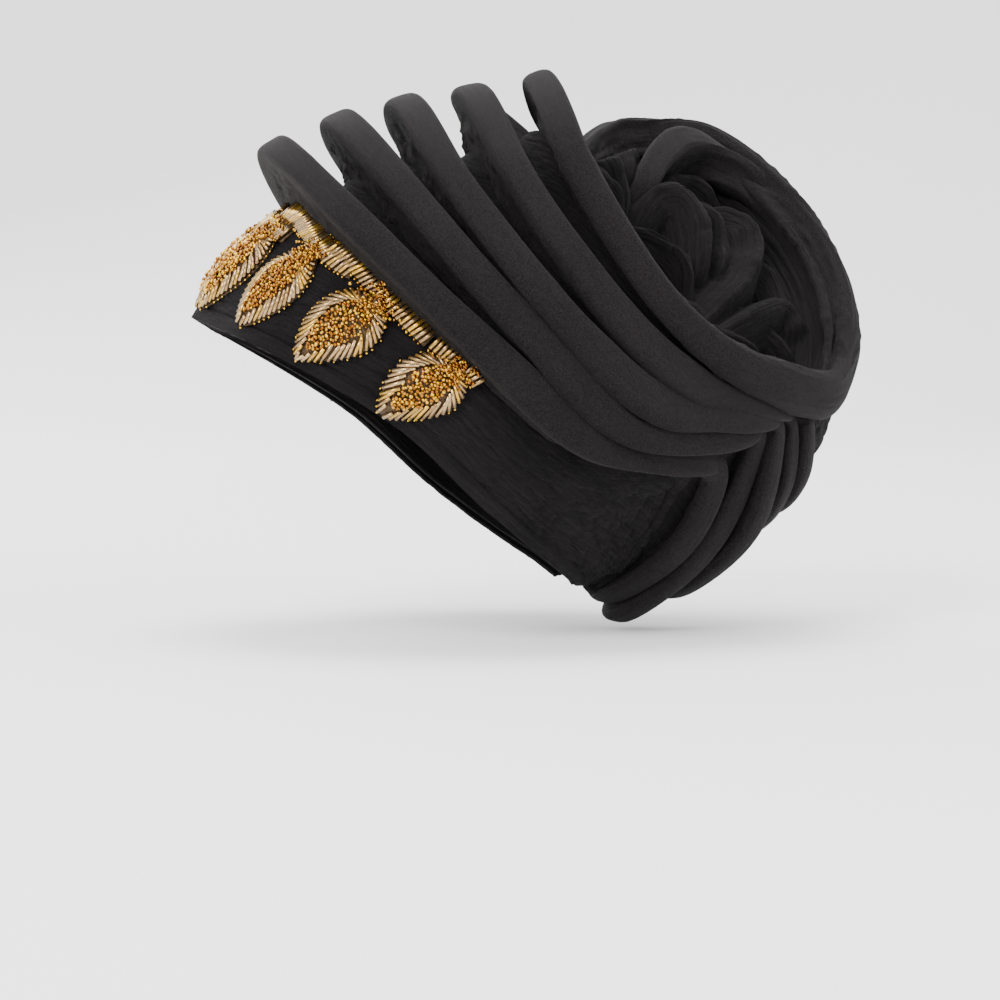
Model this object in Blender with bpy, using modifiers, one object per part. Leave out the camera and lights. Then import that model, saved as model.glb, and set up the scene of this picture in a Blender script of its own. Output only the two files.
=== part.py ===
# Tied gele head tie: a pleated turban with padded folds, a rosette bowl behind and beaded leaves.
#
# The wearer faces -Y, +X is the wearer's left and +Z is up. The origin is the middle of the opening
# that the head goes into. Every row of the cloth is a ring round the head. A place on a ring is its
# turn in degrees: 0 over the forehead, 90 on the left, 180 at the nape and 270 on the right.
# Tables hold shares of HALF_WIDTH (out), LENGTH (back) and HEIGHT (up).
import math

import bmesh
import bpy
import numpy as np
from mathutils import Vector
from mathutils.bvhtree import BVHTree

# overall form, metres
HALF_WIDTH = 0.100
LENGTH = 0.285
HEIGHT = 0.243

# cloth and clearances
CROWN_CLOTH = 0.0020
BAND_CLOTH = 0.0020
PIECE_GAP = 0.0005
BAND_GAP = 0.0009
BAND_TO_FOLD = 0.0025
HEM_SETBACK = 0.012
HEM_TUCK = 0.08

# the padded folds over the top, and the smaller folds that hang round the nape
FOLD_HEIGHT = 0.028
FOLD_WIDTH = 0.0118
FOOT_SHARE = 0.82
ROOM_SHARE = 0.80
HOOP_HEIGHT = 0.0085
HOOP_WIDTH = 0.0066
VALLEY_DIP = 0.0022
TAIL_DIP = 0.35

# the rolled rim of the bowl, the bowl, the pouch below it and the twisted folds in it
RIM_HEIGHT = 0.021
RIM_WIDTH = 0.0118
BOWL_DEPTH = 0.043
POUCH_BULGE = 0.008

# beaded leaves and stems on the band
BAND_BULGE = 0.004
LEAF_LENGTH = 0.046
LEAF_WIDTH = 0.033
LEAF_THICK = 0.0030
STEM_WIDTH = 0.0070
STEM_THICK = 0.0026
TRIM_GAP = 0.0009
TRIM_REACH = 0.012

# columns of the rings, from the forehead to the tails and on to the nape
SIDE_COLUMNS = 16
BACK_COLUMNS = 6
TAIL_TURN = 150.0
NAPE_TURN = 180.0
# turns between which the folds' lean, the fifth ring and the band's hem change to suit the hoops
LEAN_TURNS = (125.0, 160.0)
HOOP_START_TURNS = (138.0, 158.0)
HEM_TURNS = (138.0, 155.0, 160.0, 178.0)

# a row for each fold: half width (out), how far its hidden right side is lifted (up), the middle that
# it points away from (back, up), then its crest's place (back, up) at the turns named here
FOLD_TURNS = (0.0, 45.0, 90.0, 120.0)
FOLD_TABLE = {
    "fold_1": (0.99, 0.00, (0.03, 0.15), (-0.190, 0.570), (-0.122, 0.464), (0.086, 0.214), (0.264, 0.046)),
    "fold_2": (1.00, 0.05, (0.08, 0.15), (-0.093, 0.618), (-0.035, 0.503), (0.156, 0.230), (0.335, 0.058)),
    "fold_3": (0.99, 0.11, (0.14, 0.15), (0.006, 0.648), (0.038, 0.526), (0.200, 0.263), (0.368, 0.109)),
    "fold_4": (0.94, 0.18, (0.20, 0.15), (0.110, 0.668), (0.128, 0.549), (0.261, 0.297), (0.414, 0.147)),
}

# a row for each hoop: half width (out) where it leaves the tail of its fold, then its crest's place
# (back, up) at the turns named here
HOOP_TURNS = (150.0, 165.0, 180.0)
HOOP_TABLE = {
    "hoop_1": (0.57, (0.450, -0.007), (0.398, -0.152), (0.300, -0.250)),
    "hoop_2": (0.52, (0.520, 0.067), (0.455, -0.148), (0.318, -0.290)),
    "hoop_3": (0.505, (0.549, 0.077), (0.521, -0.119), (0.405, -0.250)),
    "hoop_4": (0.44, (0.574, 0.080), (0.578, -0.030), (0.550, -0.126)),
    "hoop_5": (0.40, (0.604, 0.088), (0.605, -0.012), (0.590, -0.080)),
}
HOOP_MIDDLE = (0.40, 0.12)
HOOP_ROUNDNESS = 0.7

# shares of a fold's height and width at 0, 45, 90, 120 and 150 degrees
FOLD_HEIGHT_SHARES = (1.00, 0.86, 0.64, 0.50, 0.14)
FOLD_WIDTH_SHARES = (1.00, 1.00, 1.00, 0.90, 0.38)

# the bowl's rolled rim: turn, out, back and up of its crest, and its height's share
RIM_TABLE = (
    (0, 0.00, 0.204, 0.693, 1.25), (45, 0.62, 0.213, 0.576, 1.10), (90, 0.88, 0.326, 0.321, 0.80),
    (120, 0.76, 0.472, 0.178, 0.56), (150, 0.43, 0.632, 0.120, 0.38), (165, 0.24, 0.675, 0.152, 0.48),
    (180, 0.05, 0.705, 0.225, 0.60), (195, -0.15, 0.710, 0.300, 0.66), (210, -0.36, 0.695, 0.390, 0.70),
    (240, -0.68, 0.620, 0.530, 0.75), (270, -0.84, 0.515, 0.606, 0.75), (300, -0.79, 0.398, 0.612, 0.85),
    (330, -0.47, 0.281, 0.655, 1.05),
)
# which way the bowl faces, and how far its rim leans that way rather than straight out
BOWL_FACING = (0.62, 0.42, 0.66)
RIM_LEAN = 0.7
BOWL_STEPS = (0.22, 0.45, 0.68, 0.88)

# twisted folds in the bowl: the width of each, then places along it as someone sees them who looks
# straight into the bowl, with shares of its mean radius to the right and up from its middle and the
# crest's height above the cloth as a share of the bowl's depth
ROSETTE_TABLE = {
    "rosette_fold_1": (0.0135,
                       (0.24, 0.44, 0.30), (0.36, 0.61, 0.45), (0.45, 0.55, 0.50), (0.46, 0.38, 0.55),
                       (0.40, 0.17, 0.50), (0.32, -0.04, 0.35)),
    "rosette_fold_2": (0.0070,
                       (0.60, 0.40, 0.30), (0.57, 0.22, 0.38), (0.50, 0.04, 0.30)),
    "rosette_fold_3": (0.0110,
                       (0.74, 0.22, 0.30), (0.76, 0.05, 0.48), (0.68, -0.12, 0.50), (0.52, -0.26, 0.45),
                       (0.36, -0.36, 0.30)),
    "rosette_fold_4": (0.0100,
                       (0.42, -0.52, 0.35), (0.56, -0.52, 0.48), (0.64, -0.60, 0.45), (0.60, -0.74, 0.30)),
    "rosette_fold_5": (0.0080,
                       (0.04, -0.42, 0.30), (0.14, -0.48, 0.38), (0.18, -0.62, 0.38), (0.28, -0.76, 0.28)),
    "rosette_fold_6": (0.0090,
                       (-0.22, 0.40, 0.30), (-0.12, 0.54, 0.40), (0.02, 0.60, 0.30)),
    "rosette_fold_7": (0.0120,
                       (-0.62, 0.25, 0.30), (-0.50, -0.05, 0.45), (-0.36, -0.32, 0.42), (-0.12, -0.50, 0.30)),
    "rosette_fold_8": (0.0110,
                       (-0.32, 0.12, 0.30), (-0.24, -0.10, 0.45), (-0.05, -0.24, 0.45), (0.14, -0.22, 0.30)),
    "rosette_fold_9": (0.0100,
                       (0.05, 0.36, 0.30), (0.17, 0.20, 0.50), (0.10, 0.02, 0.50), (-0.08, 0.04, 0.35)),
}
ROSETTE_STEPS = 9
ROSETTE_TAPER = 0.35

# the band's lower edge: turn, out, back and up
EDGE_TABLE = (
    (0, 0.00, -0.305, 0.262), (45, 0.58, -0.236, 0.222), (90, 0.78, -0.036, 0.082),
    (120, 0.69, 0.082, -0.046), (150, 0.50, 0.178, -0.136), (165, 0.31, 0.236, -0.185),
    (180, 0.00, 0.272, -0.228),
)
BAND_STEPS = (0.0, 0.25, 0.5, 0.75, 1.0)
BAND_END_TURN = 170.0

# beaded leaves on the left of the band, from the forehead back: turn and share of the band's height of
# the leaf's middle, how far its tip dips below the band's run in degrees, and its size
LEAF_TABLE = ((12, 0.46, 82, 1.00), (38, 0.47, 80, 0.96), (63, 0.46, 76, 0.90), (86, 0.47, 76, 0.80))
# a leaf's section: shares of its half width across and of its thickness up
LEAF_PROFILE = ((-1, 0), (-1, 0.55), (-0.5, 0.9), (0, 1), (0.5, 0.9), (1, 0.55), (1, 0), (0.5, 0), (0, 0),
                (-0.5, 0))
# stem ribbons: turn and share of the band's height of both ends, and the bow between them
STEM_TABLE = (
    ((1.5, 0.90), (7, 0.90), 0.0), ((20, 0.88), (31, 0.88), 0.0), ((48, 0.88), (57, 0.88), 0.0),
    ((72.5, 0.88), (80, 0.88), 0.0),
)

CLOTH = ((0.030, 0.026, 0.028), 0.85, 0.0)
PADDED = ((0.046, 0.040, 0.042), 0.80, 0.0)
BEADS = ((0.78, 0.56, 0.27), 0.32, 0.85)


def settle(stations, values, turns):
    """Values at the turns, along a smooth curve through the stations that doesn't overshoot."""
    x = np.asarray(stations, float)
    y = np.asarray(values, float)
    step = np.diff(x)
    slope = np.diff(y) / step
    tangent = np.zeros(len(x))
    for i in range(1, len(x) - 1):
        before, after = slope[i - 1], slope[i]
        if before * after > 0:
            tangent[i] = 2 * before * after / (before + after)
    found = np.clip(np.searchsorted(x, turns, side="right") - 1, 0, len(x) - 2)
    h = step[found]
    s = (np.asarray(turns, float) - x[found]) / h
    rise = 3 * s**2 - 2 * s**3
    start = (s**3 - 2 * s**2 + s) * h * tangent[found]
    end = (s**3 - s**2) * h * tangent[found + 1]
    return y[found] * (1 - rise) + y[found + 1] * rise + start + end


def unit(vectors):
    return vectors / np.linalg.norm(vectors, axis=-1, keepdims=True)


def square_to(vectors, directions):
    """The unit vectors that are left when the parts along the directions are taken away."""
    along = np.sum(vectors * directions, axis=-1, keepdims=True)
    return unit(vectors - along * directions)


def fade(turns, first, last):
    """0 before the first turn and 1 past the last, with a smooth rise between."""
    share = np.clip((turns - first) / (last - first), 0, 1)
    return share * share * (3 - 2 * share)


def by_place(out, back, up):
    """Points from their shares of the overall form."""
    shares = np.broadcast_arrays(out * HALF_WIDTH, back * LENGTH, up * HEIGHT)
    return np.stack(shares, axis=-1)


def ring_turns():
    side = np.linspace(0, TAIL_TURN, SIDE_COLUMNS + 1)
    back = np.linspace(TAIL_TURN, NAPE_TURN, BACK_COLUMNS + 1)[1:]
    left = np.concatenate([side, back])
    return np.concatenate([left, 2 * NAPE_TURN - left[-2:0:-1]])


TURNS = ring_turns()
COLUMNS = len(TURNS)
# the same turns counted from the forehead on either side, and what the hidden right side has
SIDE_TURNS = np.minimum(TURNS, 2 * NAPE_TURN - TURNS)
ON_RIGHT = TURNS > NAPE_TURN
SIDE_SIGNS = np.where(ON_RIGHT, -1.0, 1.0)
LIFT_SHARES = np.where(ON_RIGHT, np.sin(np.radians(TURNS)) ** 2, 0.0)


def columns_between(first, last):
    """The columns whose turns lie between the two, running past the forehead where first is below 0."""
    signed = np.where(TURNS > NAPE_TURN, TURNS - 2 * NAPE_TURN, TURNS) if first < 0 else TURNS
    inside = [k for k in range(COLUMNS) if first - 0.01 <= signed[k] <= last + 0.01]
    return sorted(inside, key=lambda k: signed[k])


def closed_turns(table):
    """A closed table's columns, run past both ends so that its curves close smoothly."""
    before = [(row[0] - 360, *row[1:]) for row in table[-3:]]
    after = [(row[0] + 360, *row[1:]) for row in table[:3]]
    return [np.array(column) for column in zip(*before, *table, *after)]


def hoop_out(half):
    """How far out a hoop lies, from its tail's half width to the middle at the nape."""
    round_nape = np.clip((SIDE_TURNS - TAIL_TURN) / (NAPE_TURN - TAIL_TURN), 0, 1)
    return half * np.clip(np.cos(round_nape * math.pi / 2), 0, 1) ** HOOP_ROUNDNESS


def fold_crests(fold, hoop):
    """The crest of a fold over the head and of the hoop that carries on from it round the nape."""
    half, lift, middle, *front = FOLD_TABLE[fold]
    tail_half, *rear = HOOP_TABLE[hoop]
    stations = FOLD_TURNS + HOOP_TURNS
    back = settle(stations, [place[0] for place in front + rear], SIDE_TURNS)
    up = settle(stations, [place[1] for place in front + rear], SIDE_TURNS)
    drawn_in = tail_half / (half * math.sin(math.radians(TAIL_TURN))) - 1
    over = np.clip(SIDE_TURNS / TAIL_TURN, 0, 1)
    fold_out = half * np.sin(np.radians(SIDE_TURNS)) * (1 + drawn_in * over**3)
    out = np.where(SIDE_TURNS > TAIL_TURN, hoop_out(tail_half), fold_out) * SIDE_SIGNS
    return by_place(out, back + 0.4 * lift * LIFT_SHARES, up + lift * LIFT_SHARES)


def last_hoop_crests(hoop):
    """The hoop that has no fold before it, along its own turns only."""
    half, *rear = HOOP_TABLE[hoop]
    back = settle(HOOP_TURNS, [place[0] for place in rear], np.clip(SIDE_TURNS, TAIL_TURN, NAPE_TURN))
    up = settle(HOOP_TURNS, [place[1] for place in rear], np.clip(SIDE_TURNS, TAIL_TURN, NAPE_TURN))
    return by_place(hoop_out(half) * SIDE_SIGNS, back, up)


def crest_directions(crests, middle):
    """Outward from the fold's own middle, and from the hoops' middle near the nape."""
    near_nape = fade(SIDE_TURNS, *LEAN_TURNS)[:, None]
    centre = by_place(0, *middle) * (1 - near_nape) + by_place(0, *HOOP_MIDDLE) * near_nape
    return unit(crests - centre)


def room_between(ring, other):
    """How far each point of a ring lies from another ring."""
    ahead = np.roll(other, -1, axis=0)
    fine = np.concatenate([other + (ahead - other) * share for share in (0.0, 0.25, 0.5, 0.75)])
    return np.linalg.norm(ring[:, None] - fine[None], axis=2).min(axis=1)


class Fin:
    """A padded fold on the cloth: its crest, the foot's front and back rows, and its size there."""

    def __init__(self, crests, up, heights, widths):
        self.up = up
        self.across = unit(np.cross(up, np.roll(crests, -1, axis=0) - np.roll(crests, 1, axis=0)))
        self.heights = heights
        self.widths = widths
        base = crests - up * heights[:, None]
        self.front = base - self.across * widths[:, None] * FOOT_SHARE / 2
        self.back = base + self.across * widths[:, None] * FOOT_SHARE / 2

    def sections(self, places, end_share=0.6):
        """Closed sections at the places named: base, narrowed neck and round padded crest."""
        found = []
        for number, k in enumerate(places):
            at_end = number in (0, len(places) - 1)
            height = self.heights[k] * (end_share if at_end else 1.0) - PIECE_GAP
            half = self.widths[k] * 0.5
            rim = min(half * 0.9, height * 0.55)
            base = (self.front[k] + self.back[k]) / 2 + self.up[k] * PIECE_GAP
            foot = 0.97 * FOOT_SHARE
            neck = 0.90 * FOOT_SHARE
            shape = ((-foot, 0.0), (-neck, 0.45 * (height - rim)), (-1.0, height - rim),
                     (-0.74, height - 0.30 * rim), (0.0, height), (0.74, height - 0.30 * rim),
                     (1.0, height - rim), (neck, 0.45 * (height - rim)), (foot, 0.0))
            found.append([base + self.across[k] * half * side + self.up[k] * rise for side, rise in shape])
        return found


def lay_out_folds():
    """The folds, the hoops and the rim, each as a fin, with the band's edge and the bowl's middle."""
    fold_names = list(FOLD_TABLE)
    hoop_names = list(HOOP_TABLE)
    stations = (0.0, 45.0, 90.0, 120.0) + HOOP_TURNS
    heights = settle(stations, [FOLD_HEIGHT * share for share in FOLD_HEIGHT_SHARES]
                     + [HOOP_HEIGHT, 0.85 * HOOP_HEIGHT], SIDE_TURNS)
    widths = settle(stations, [FOLD_WIDTH * share for share in FOLD_WIDTH_SHARES]
                    + [HOOP_WIDTH, HOOP_WIDTH], SIDE_TURNS)

    turns, out, back, up, shares = closed_turns(RIM_TABLE)
    rim = by_place(settle(turns, out, TURNS), settle(turns, back, TURNS), settle(turns, up, TURNS))
    lengths = np.linalg.norm(np.roll(rim, -1, axis=0) - np.roll(rim, 1, axis=0), axis=1)
    centre = np.average(rim, axis=0, weights=lengths)
    facing = unit(np.array(BOWL_FACING))
    rim_up = unit(unit(rim - centre) + facing * RIM_LEAN)
    rim_fin = Fin(rim, rim_up, RIM_HEIGHT * settle(turns, shares, TURNS), np.full(COLUMNS, RIM_WIDTH))

    turns, out, back, up = (np.array(column) for column in zip(*EDGE_TABLE))
    edge = by_place(settle(turns, out, SIDE_TURNS) * SIDE_SIGNS, settle(turns, back, SIDE_TURNS),
                    settle(turns, up, SIDE_TURNS))

    crests = [fold_crests(fold, hoop) for fold, hoop in zip(fold_names, hoop_names)]
    rings = [edge] + crests + [rim]
    fins = []
    for number, fold in enumerate(fold_names):
        direction = crest_directions(crests[number], FOLD_TABLE[fold][2])
        room = np.minimum(room_between(crests[number], rings[number]),
                          room_between(crests[number], rings[number + 2]))
        fins.append(Fin(crests[number], direction, heights, np.minimum(widths, ROOM_SHARE * room)))

    # before it becomes the last hoop, the fifth ring runs midway between fold 4's foot and the rim's
    to_hoop = fade(SIDE_TURNS, *HOOP_START_TURNS)[:, None]
    midway = (fins[-1].back + rim_fin.front) / 2
    ring = midway * (1 - to_hoop) + last_hoop_crests(hoop_names[-1]) * to_hoop
    direction = crest_directions(ring, FOLD_TABLE[fold_names[-1]][2])
    narrow = 0.15 * HOOP_WIDTH
    room = np.minimum(room_between(ring, crests[-1]), room_between(ring, rim))
    last_widths = narrow + (np.minimum(widths, ROOM_SHARE * room) - narrow) * to_hoop[:, 0]
    fins.append(Fin(ring, direction, heights * to_hoop[:, 0], last_widths))
    return edge, fins, rim_fin, centre, facing


def surface_normals(grid, closed=True):
    """Outward normals of a grid of rings, from the differences along its rows and columns."""
    along = np.roll(grid, -1, axis=1) - np.roll(grid, 1, axis=1)
    if not closed:
        along[:, 0] = grid[:, 1] - grid[:, 0]
        along[:, -1] = grid[:, -1] - grid[:, -2]
    rise = np.gradient(grid, axis=0)
    return unit(np.cross(along, rise))


def lay_out_band(edge, first_fold):
    """The band's outer rows, from its lower edge to just before the first fold."""
    toward_edge = unit(edge - first_fold.front)
    set_back = fade(SIDE_TURNS, *HEM_TURNS[:2]) * (1 - fade(SIDE_TURNS, *HEM_TURNS[2:]))
    top = first_fold.front + toward_edge * (BAND_TO_FOLD + HEM_SETBACK * set_back)[:, None]
    rows = []
    for share in BAND_STEPS:
        row = edge * (1 - share) + top * share
        out = unit(row * np.array([1.0, 1.0, 0.3]) - by_place(0, 0.05, 0.0))
        rows.append(row + out * BAND_BULGE * math.sin(math.pi * share))
    return np.array(rows)


def lay_out_crown(band, fins, rim_fin, centre, facing):
    """The crown's outer rows: under the band, over the folds' feet, up the pouch and down the bowl."""
    normals = surface_normals(band)
    under = band - normals * (BAND_CLOTH + BAND_GAP)
    under[0] = under[0] * (1 - HEM_TUCK) + under[1] * HEM_TUCK
    rows = list(under)
    for fin, following in zip(fins, fins[1:] + [rim_fin]):
        rows += [fin.front, fin.back]
        if following is rim_fin:
            for share in (0.33, 0.67):
                row = fin.back * (1 - share) + following.front * share
                length = np.linalg.norm(following.front - fin.back, axis=1)[:, None]
                bulge = POUCH_BULGE * np.clip(length / (0.5 * HALF_WIDTH), 0, 1)
                rows.append(row + unit(fin.up + following.up) * bulge)
        else:
            middle = (fin.back + following.front) / 2
            dip = VALLEY_DIP * (1 + TAIL_DIP * fade(SIDE_TURNS, *LEAN_TURNS))
            rows.append(middle - fin.up * dip[:, None])
    rows += [rim_fin.front, rim_fin.back]
    for step in BOWL_STEPS:
        inward = 1 - math.cos(step * math.pi / 2)
        down = math.sin(step * math.pi / 2)
        rows.append(rim_fin.back * (1 - inward) + centre * inward - facing * BOWL_DEPTH * down)
    return np.array(rows), centre - facing * BOWL_DEPTH


def finish(name, mesh_maker, look, collection, smooth_angle=50):
    """A named object with its own material, from a function that fills a bmesh."""
    mesh = bpy.data.meshes.new(name)
    bm = bmesh.new()
    mesh_maker(bm)
    bm.to_mesh(mesh)
    bm.free()
    mesh.shade_smooth()
    mesh.set_sharp_from_angle(angle=math.radians(smooth_angle))
    colour, roughness, metallic = look
    material = bpy.data.materials.new(name)
    material.use_nodes = True
    shader = material.node_tree.nodes["Principled BSDF"]
    shader.inputs["Base Color"].default_value = (*colour, 1.0)
    shader.inputs["Roughness"].default_value = roughness
    shader.inputs["Metallic"].default_value = metallic
    mesh.materials.append(material)
    obj = bpy.data.objects.new(name, mesh)
    collection.objects.link(obj)
    return obj


def ring_surface(bm, rows, closed=True, pole=None):
    """Quads between rows of points, with a fan to the pole past the last row."""
    grid = [[bm.verts.new(point) for point in row] for row in rows]
    count = len(grid[0])
    span = count if closed else count - 1
    for lower, upper in zip(grid, grid[1:]):
        for k in range(span):
            following = (k + 1) % count
            bm.faces.new((lower[k], lower[following], upper[following]))
            bm.faces.new((lower[k], upper[following], upper[k]))
    if pole is not None:
        tip = bm.verts.new(pole)
        for k in range(span):
            bm.faces.new((grid[-1][k], grid[-1][(k + 1) % count], tip))


def loft(bm, sections, closed=False):
    """A closed body through sections with the same number of points."""
    rings = [[bm.verts.new(point) for point in section] for section in sections]
    count = len(rings[0])
    pairs = list(zip(rings, rings[1:]))
    if closed:
        pairs.append((rings[-1], rings[0]))
    for ring, following in pairs:
        for k in range(count):
            other = (k + 1) % count
            bm.faces.new((ring[k], ring[other], following[k]))
            bm.faces.new((ring[other], following[other], following[k]))
    if not closed:
        bm.faces.new(rings[0])
        bm.faces.new(reversed(rings[-1]))
    bmesh.ops.recalc_face_normals(bm, faces=bm.faces)


def make_shell(name, rows, thickness, collection, closed=True, pole=None):
    """Cloth: its outer surface, thickened inward."""
    shell = finish(name, lambda bm: ring_surface(bm, rows, closed, pole), CLOTH, collection)
    solidify = shell.modifiers.new("cloth", "SOLIDIFY")
    solidify.thickness = thickness
    solidify.offset = -1
    solidify.use_even_offset = False
    return shell


def make_fold(name, fin, places, collection, closed=False):
    sections = fin.sections(places, 1.0 if closed else 0.6)
    return finish(name, lambda bm: loft(bm, sections, closed), PADDED, collection)


def make_rosette(crown, centre, facing, radius, collection):
    """Twisted folds that stand on the bowl, each a run of sections that reach down to its cloth."""
    surface = BVHTree.FromObject(crown, bpy.context.evaluated_depsgraph_get())
    up = square_to(np.array([0.0, 0.0, 1.0]), facing)
    right = np.cross(up, facing)

    def depth_below(point):
        """How far down the cloth lies below a point held well above the bowl."""
        return surface.ray_cast(Vector(point), Vector(-facing))[3]

    for name, (width, *places) in ROSETTE_TABLE.items():
        above = np.array([centre + (right * a + up * b + facing) * radius for a, b, height in places])
        marks = np.linspace(0, 1, len(places))
        steps = np.linspace(0, 1, ROSETTE_STEPS)
        line = np.stack([settle(marks, above[:, axis], steps) for axis in range(3)], axis=1)
        rises = settle(marks, [place[2] * BOWL_DEPTH for place in places], steps)
        run = unit(np.gradient(line, axis=0))
        across = unit(np.cross(run, facing))
        sections = []
        swell = ROSETTE_TAPER + (1 - ROSETTE_TAPER) * np.sin(math.pi * steps) ** 0.6
        for point, side, rise, wide in zip(line, across, rises * swell, width * swell):
            middle = depth_below(point)
            feet = min(depth_below(point + side * wide * s / 2) for s in (-1, -0.5, 0, 0.5, 1))
            foot = point - facing * (feet - PIECE_GAP)
            height = max(rise - (middle - feet), 0.3 * wide)
            rim = min(wide * 0.5, 0.7 * height)
            shape = ((-0.96, 0.0), (-1.0, height - rim), (-0.74, height - 0.30 * rim), (0.0, height),
                     (0.74, height - 0.30 * rim), (1.0, height - rim), (0.96, 0.0))
            sections.append([foot + side * wide / 2 * s + facing * h for s, h in shape])
        finish(name, lambda bm, there=sections: loft(bm, there), PADDED, collection)


class BandCover:
    """Places on the band's outer face, named by turn and share of its height."""

    def __init__(self, band, obj):
        self.grids = (band, surface_normals(band))
        self.facets = BVHTree.FromObject(obj, bpy.context.evaluated_depsgraph_get())

    def at(self, turn, share):
        """The place and the way out of the band there."""
        row = np.clip(share, 0, 1) * (len(BAND_STEPS) - 1)
        low = min(int(row), len(BAND_STEPS) - 2)
        found = []
        for grid in self.grids:
            line = grid[low] * (low + 1 - row) + grid[low + 1] * (row - low)
            found.append(np.array([np.interp(turn, TURNS, line[:, axis], period=360) for axis in range(3)]))
        return found[0], unit(found[1])

    def reach(self, turn, share):
        """How far a degree of turn and a whole share move the place."""
        per_turn = np.linalg.norm(self.at(turn + 2, share)[0] - self.at(turn - 2, share)[0]) / 4
        per_share = np.linalg.norm(self.at(turn, share + 0.1)[0] - self.at(turn, share - 0.1)[0]) / 0.2
        return per_turn, per_share

    def beside(self, turn, share, along, upward, lift):
        """A point so far along and up the band from a place, and lifted off its facets."""
        per_turn, per_share = self.reach(turn, share)
        point, normal = self.at(turn + along / per_turn, share + upward / per_share)
        start = point + normal * TRIM_REACH
        hit = self.facets.ray_cast(Vector(start), Vector(-normal), 2 * TRIM_REACH)[0]
        return (point if hit is None else np.array(hit)) + normal * lift


def leaf_sections(cover, turn, share, dip, size):
    """Domed sections of a leaf from its stem end to its tip."""
    slant = math.radians(dip)
    run = np.array([-math.cos(slant), -math.sin(slant)])
    side = np.array([-run[1], run[0]])
    sections = []
    for place, wide in ((0.0, 0.22), (0.08, 0.56), (0.22, 0.90), (0.42, 1.0), (0.62, 0.88), (0.80, 0.58),
                        (0.93, 0.28), (1.0, 0.10)):
        section = []
        for across, rise in LEAF_PROFILE:
            offset = (run * (place - 0.5) * LEAF_LENGTH + side * across * wide * LEAF_WIDTH / 2) * size
            section.append(cover.beside(turn, share, *offset, TRIM_GAP + rise * LEAF_THICK))
        sections.append(section)
    return sections


def stem_sections(cover, start, end, bow):
    """Sections of a short ribbon of beads between two places on the band."""
    sections = []
    for step in np.linspace(0, 1, 6):
        turn = start[0] + (end[0] - start[0]) * step
        share = start[1] + (end[1] - start[1]) * step - bow * math.sin(math.pi * step)
        per_turn, per_share = cover.reach(turn, share)
        run = np.array([(end[0] - start[0]) * per_turn, (end[1] - start[1]) * per_share])
        side = unit(np.array([-run[1], run[0]]))
        section = []
        for across, rise in ((-1, 0), (-1, 0.7), (0, 1), (1, 0.7), (1, 0), (0, 0)):
            offset = side * across * STEM_WIDTH / 2
            section.append(cover.beside(turn, share, *offset, TRIM_GAP + rise * STEM_THICK))
        sections.append(section)
    return sections


def make_trim(name, sections, collection):
    """A leaf or stem on the left of the band, and its mirror image on the right."""
    for side, sign in (("left", 1), ("right", -1)):
        there = [[point * np.array([sign, 1, 1]) for point in section] for section in sections]
        kind, number = name
        finish(f"{kind}_{side}_{number}", lambda bm, there=there: loft(bm, there), BEADS, collection)


def build():
    for obj in list(bpy.data.objects):
        bpy.data.objects.remove(obj)
    collection = bpy.data.collections.new("gele_head_tie")
    bpy.context.scene.collection.children.link(collection)

    edge, fins, rim_fin, centre, facing = lay_out_folds()
    band = lay_out_band(edge, fins[0])
    rows, floor = lay_out_crown(band, fins, rim_fin, centre, facing)
    crown = make_shell("crown", rows, CROWN_CLOTH, collection, pole=floor)

    band_columns = columns_between(-BAND_END_TURN, BAND_END_TURN)
    band_cloth = make_shell("band", band[:, band_columns], BAND_CLOTH, collection, closed=False)

    for name, fin in zip(FOLD_TABLE, fins):
        make_fold(name, fin, columns_between(-TAIL_TURN, TAIL_TURN), collection)
    first_hoop = TAIL_TURN + 5
    for name, fin in zip(HOOP_TABLE, fins):
        make_fold(name, fin, columns_between(first_hoop, 2 * NAPE_TURN - first_hoop), collection)
    make_fold("rim_roll", rim_fin, list(range(COLUMNS)), collection, closed=True)

    radius = float(np.linalg.norm(rim_fin.back - centre, axis=1).mean())
    make_rosette(crown, centre, facing, radius, collection)

    cover = BandCover(band, band_cloth)
    for number, leaf in enumerate(LEAF_TABLE, 1):
        make_trim(("leaf", number), leaf_sections(cover, *leaf), collection)
    for number, stem in enumerate(STEM_TABLE, 1):
        make_trim(("stem", number), stem_sections(cover, *stem), collection)


build()
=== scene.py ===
# Dresses the ready-tied gele: crinkled crepe, padded folds, a rosette bowl and beadwork leaves.
import math

import bmesh
import bpy
import numpy as np
from mathutils import Matrix, Vector


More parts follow.
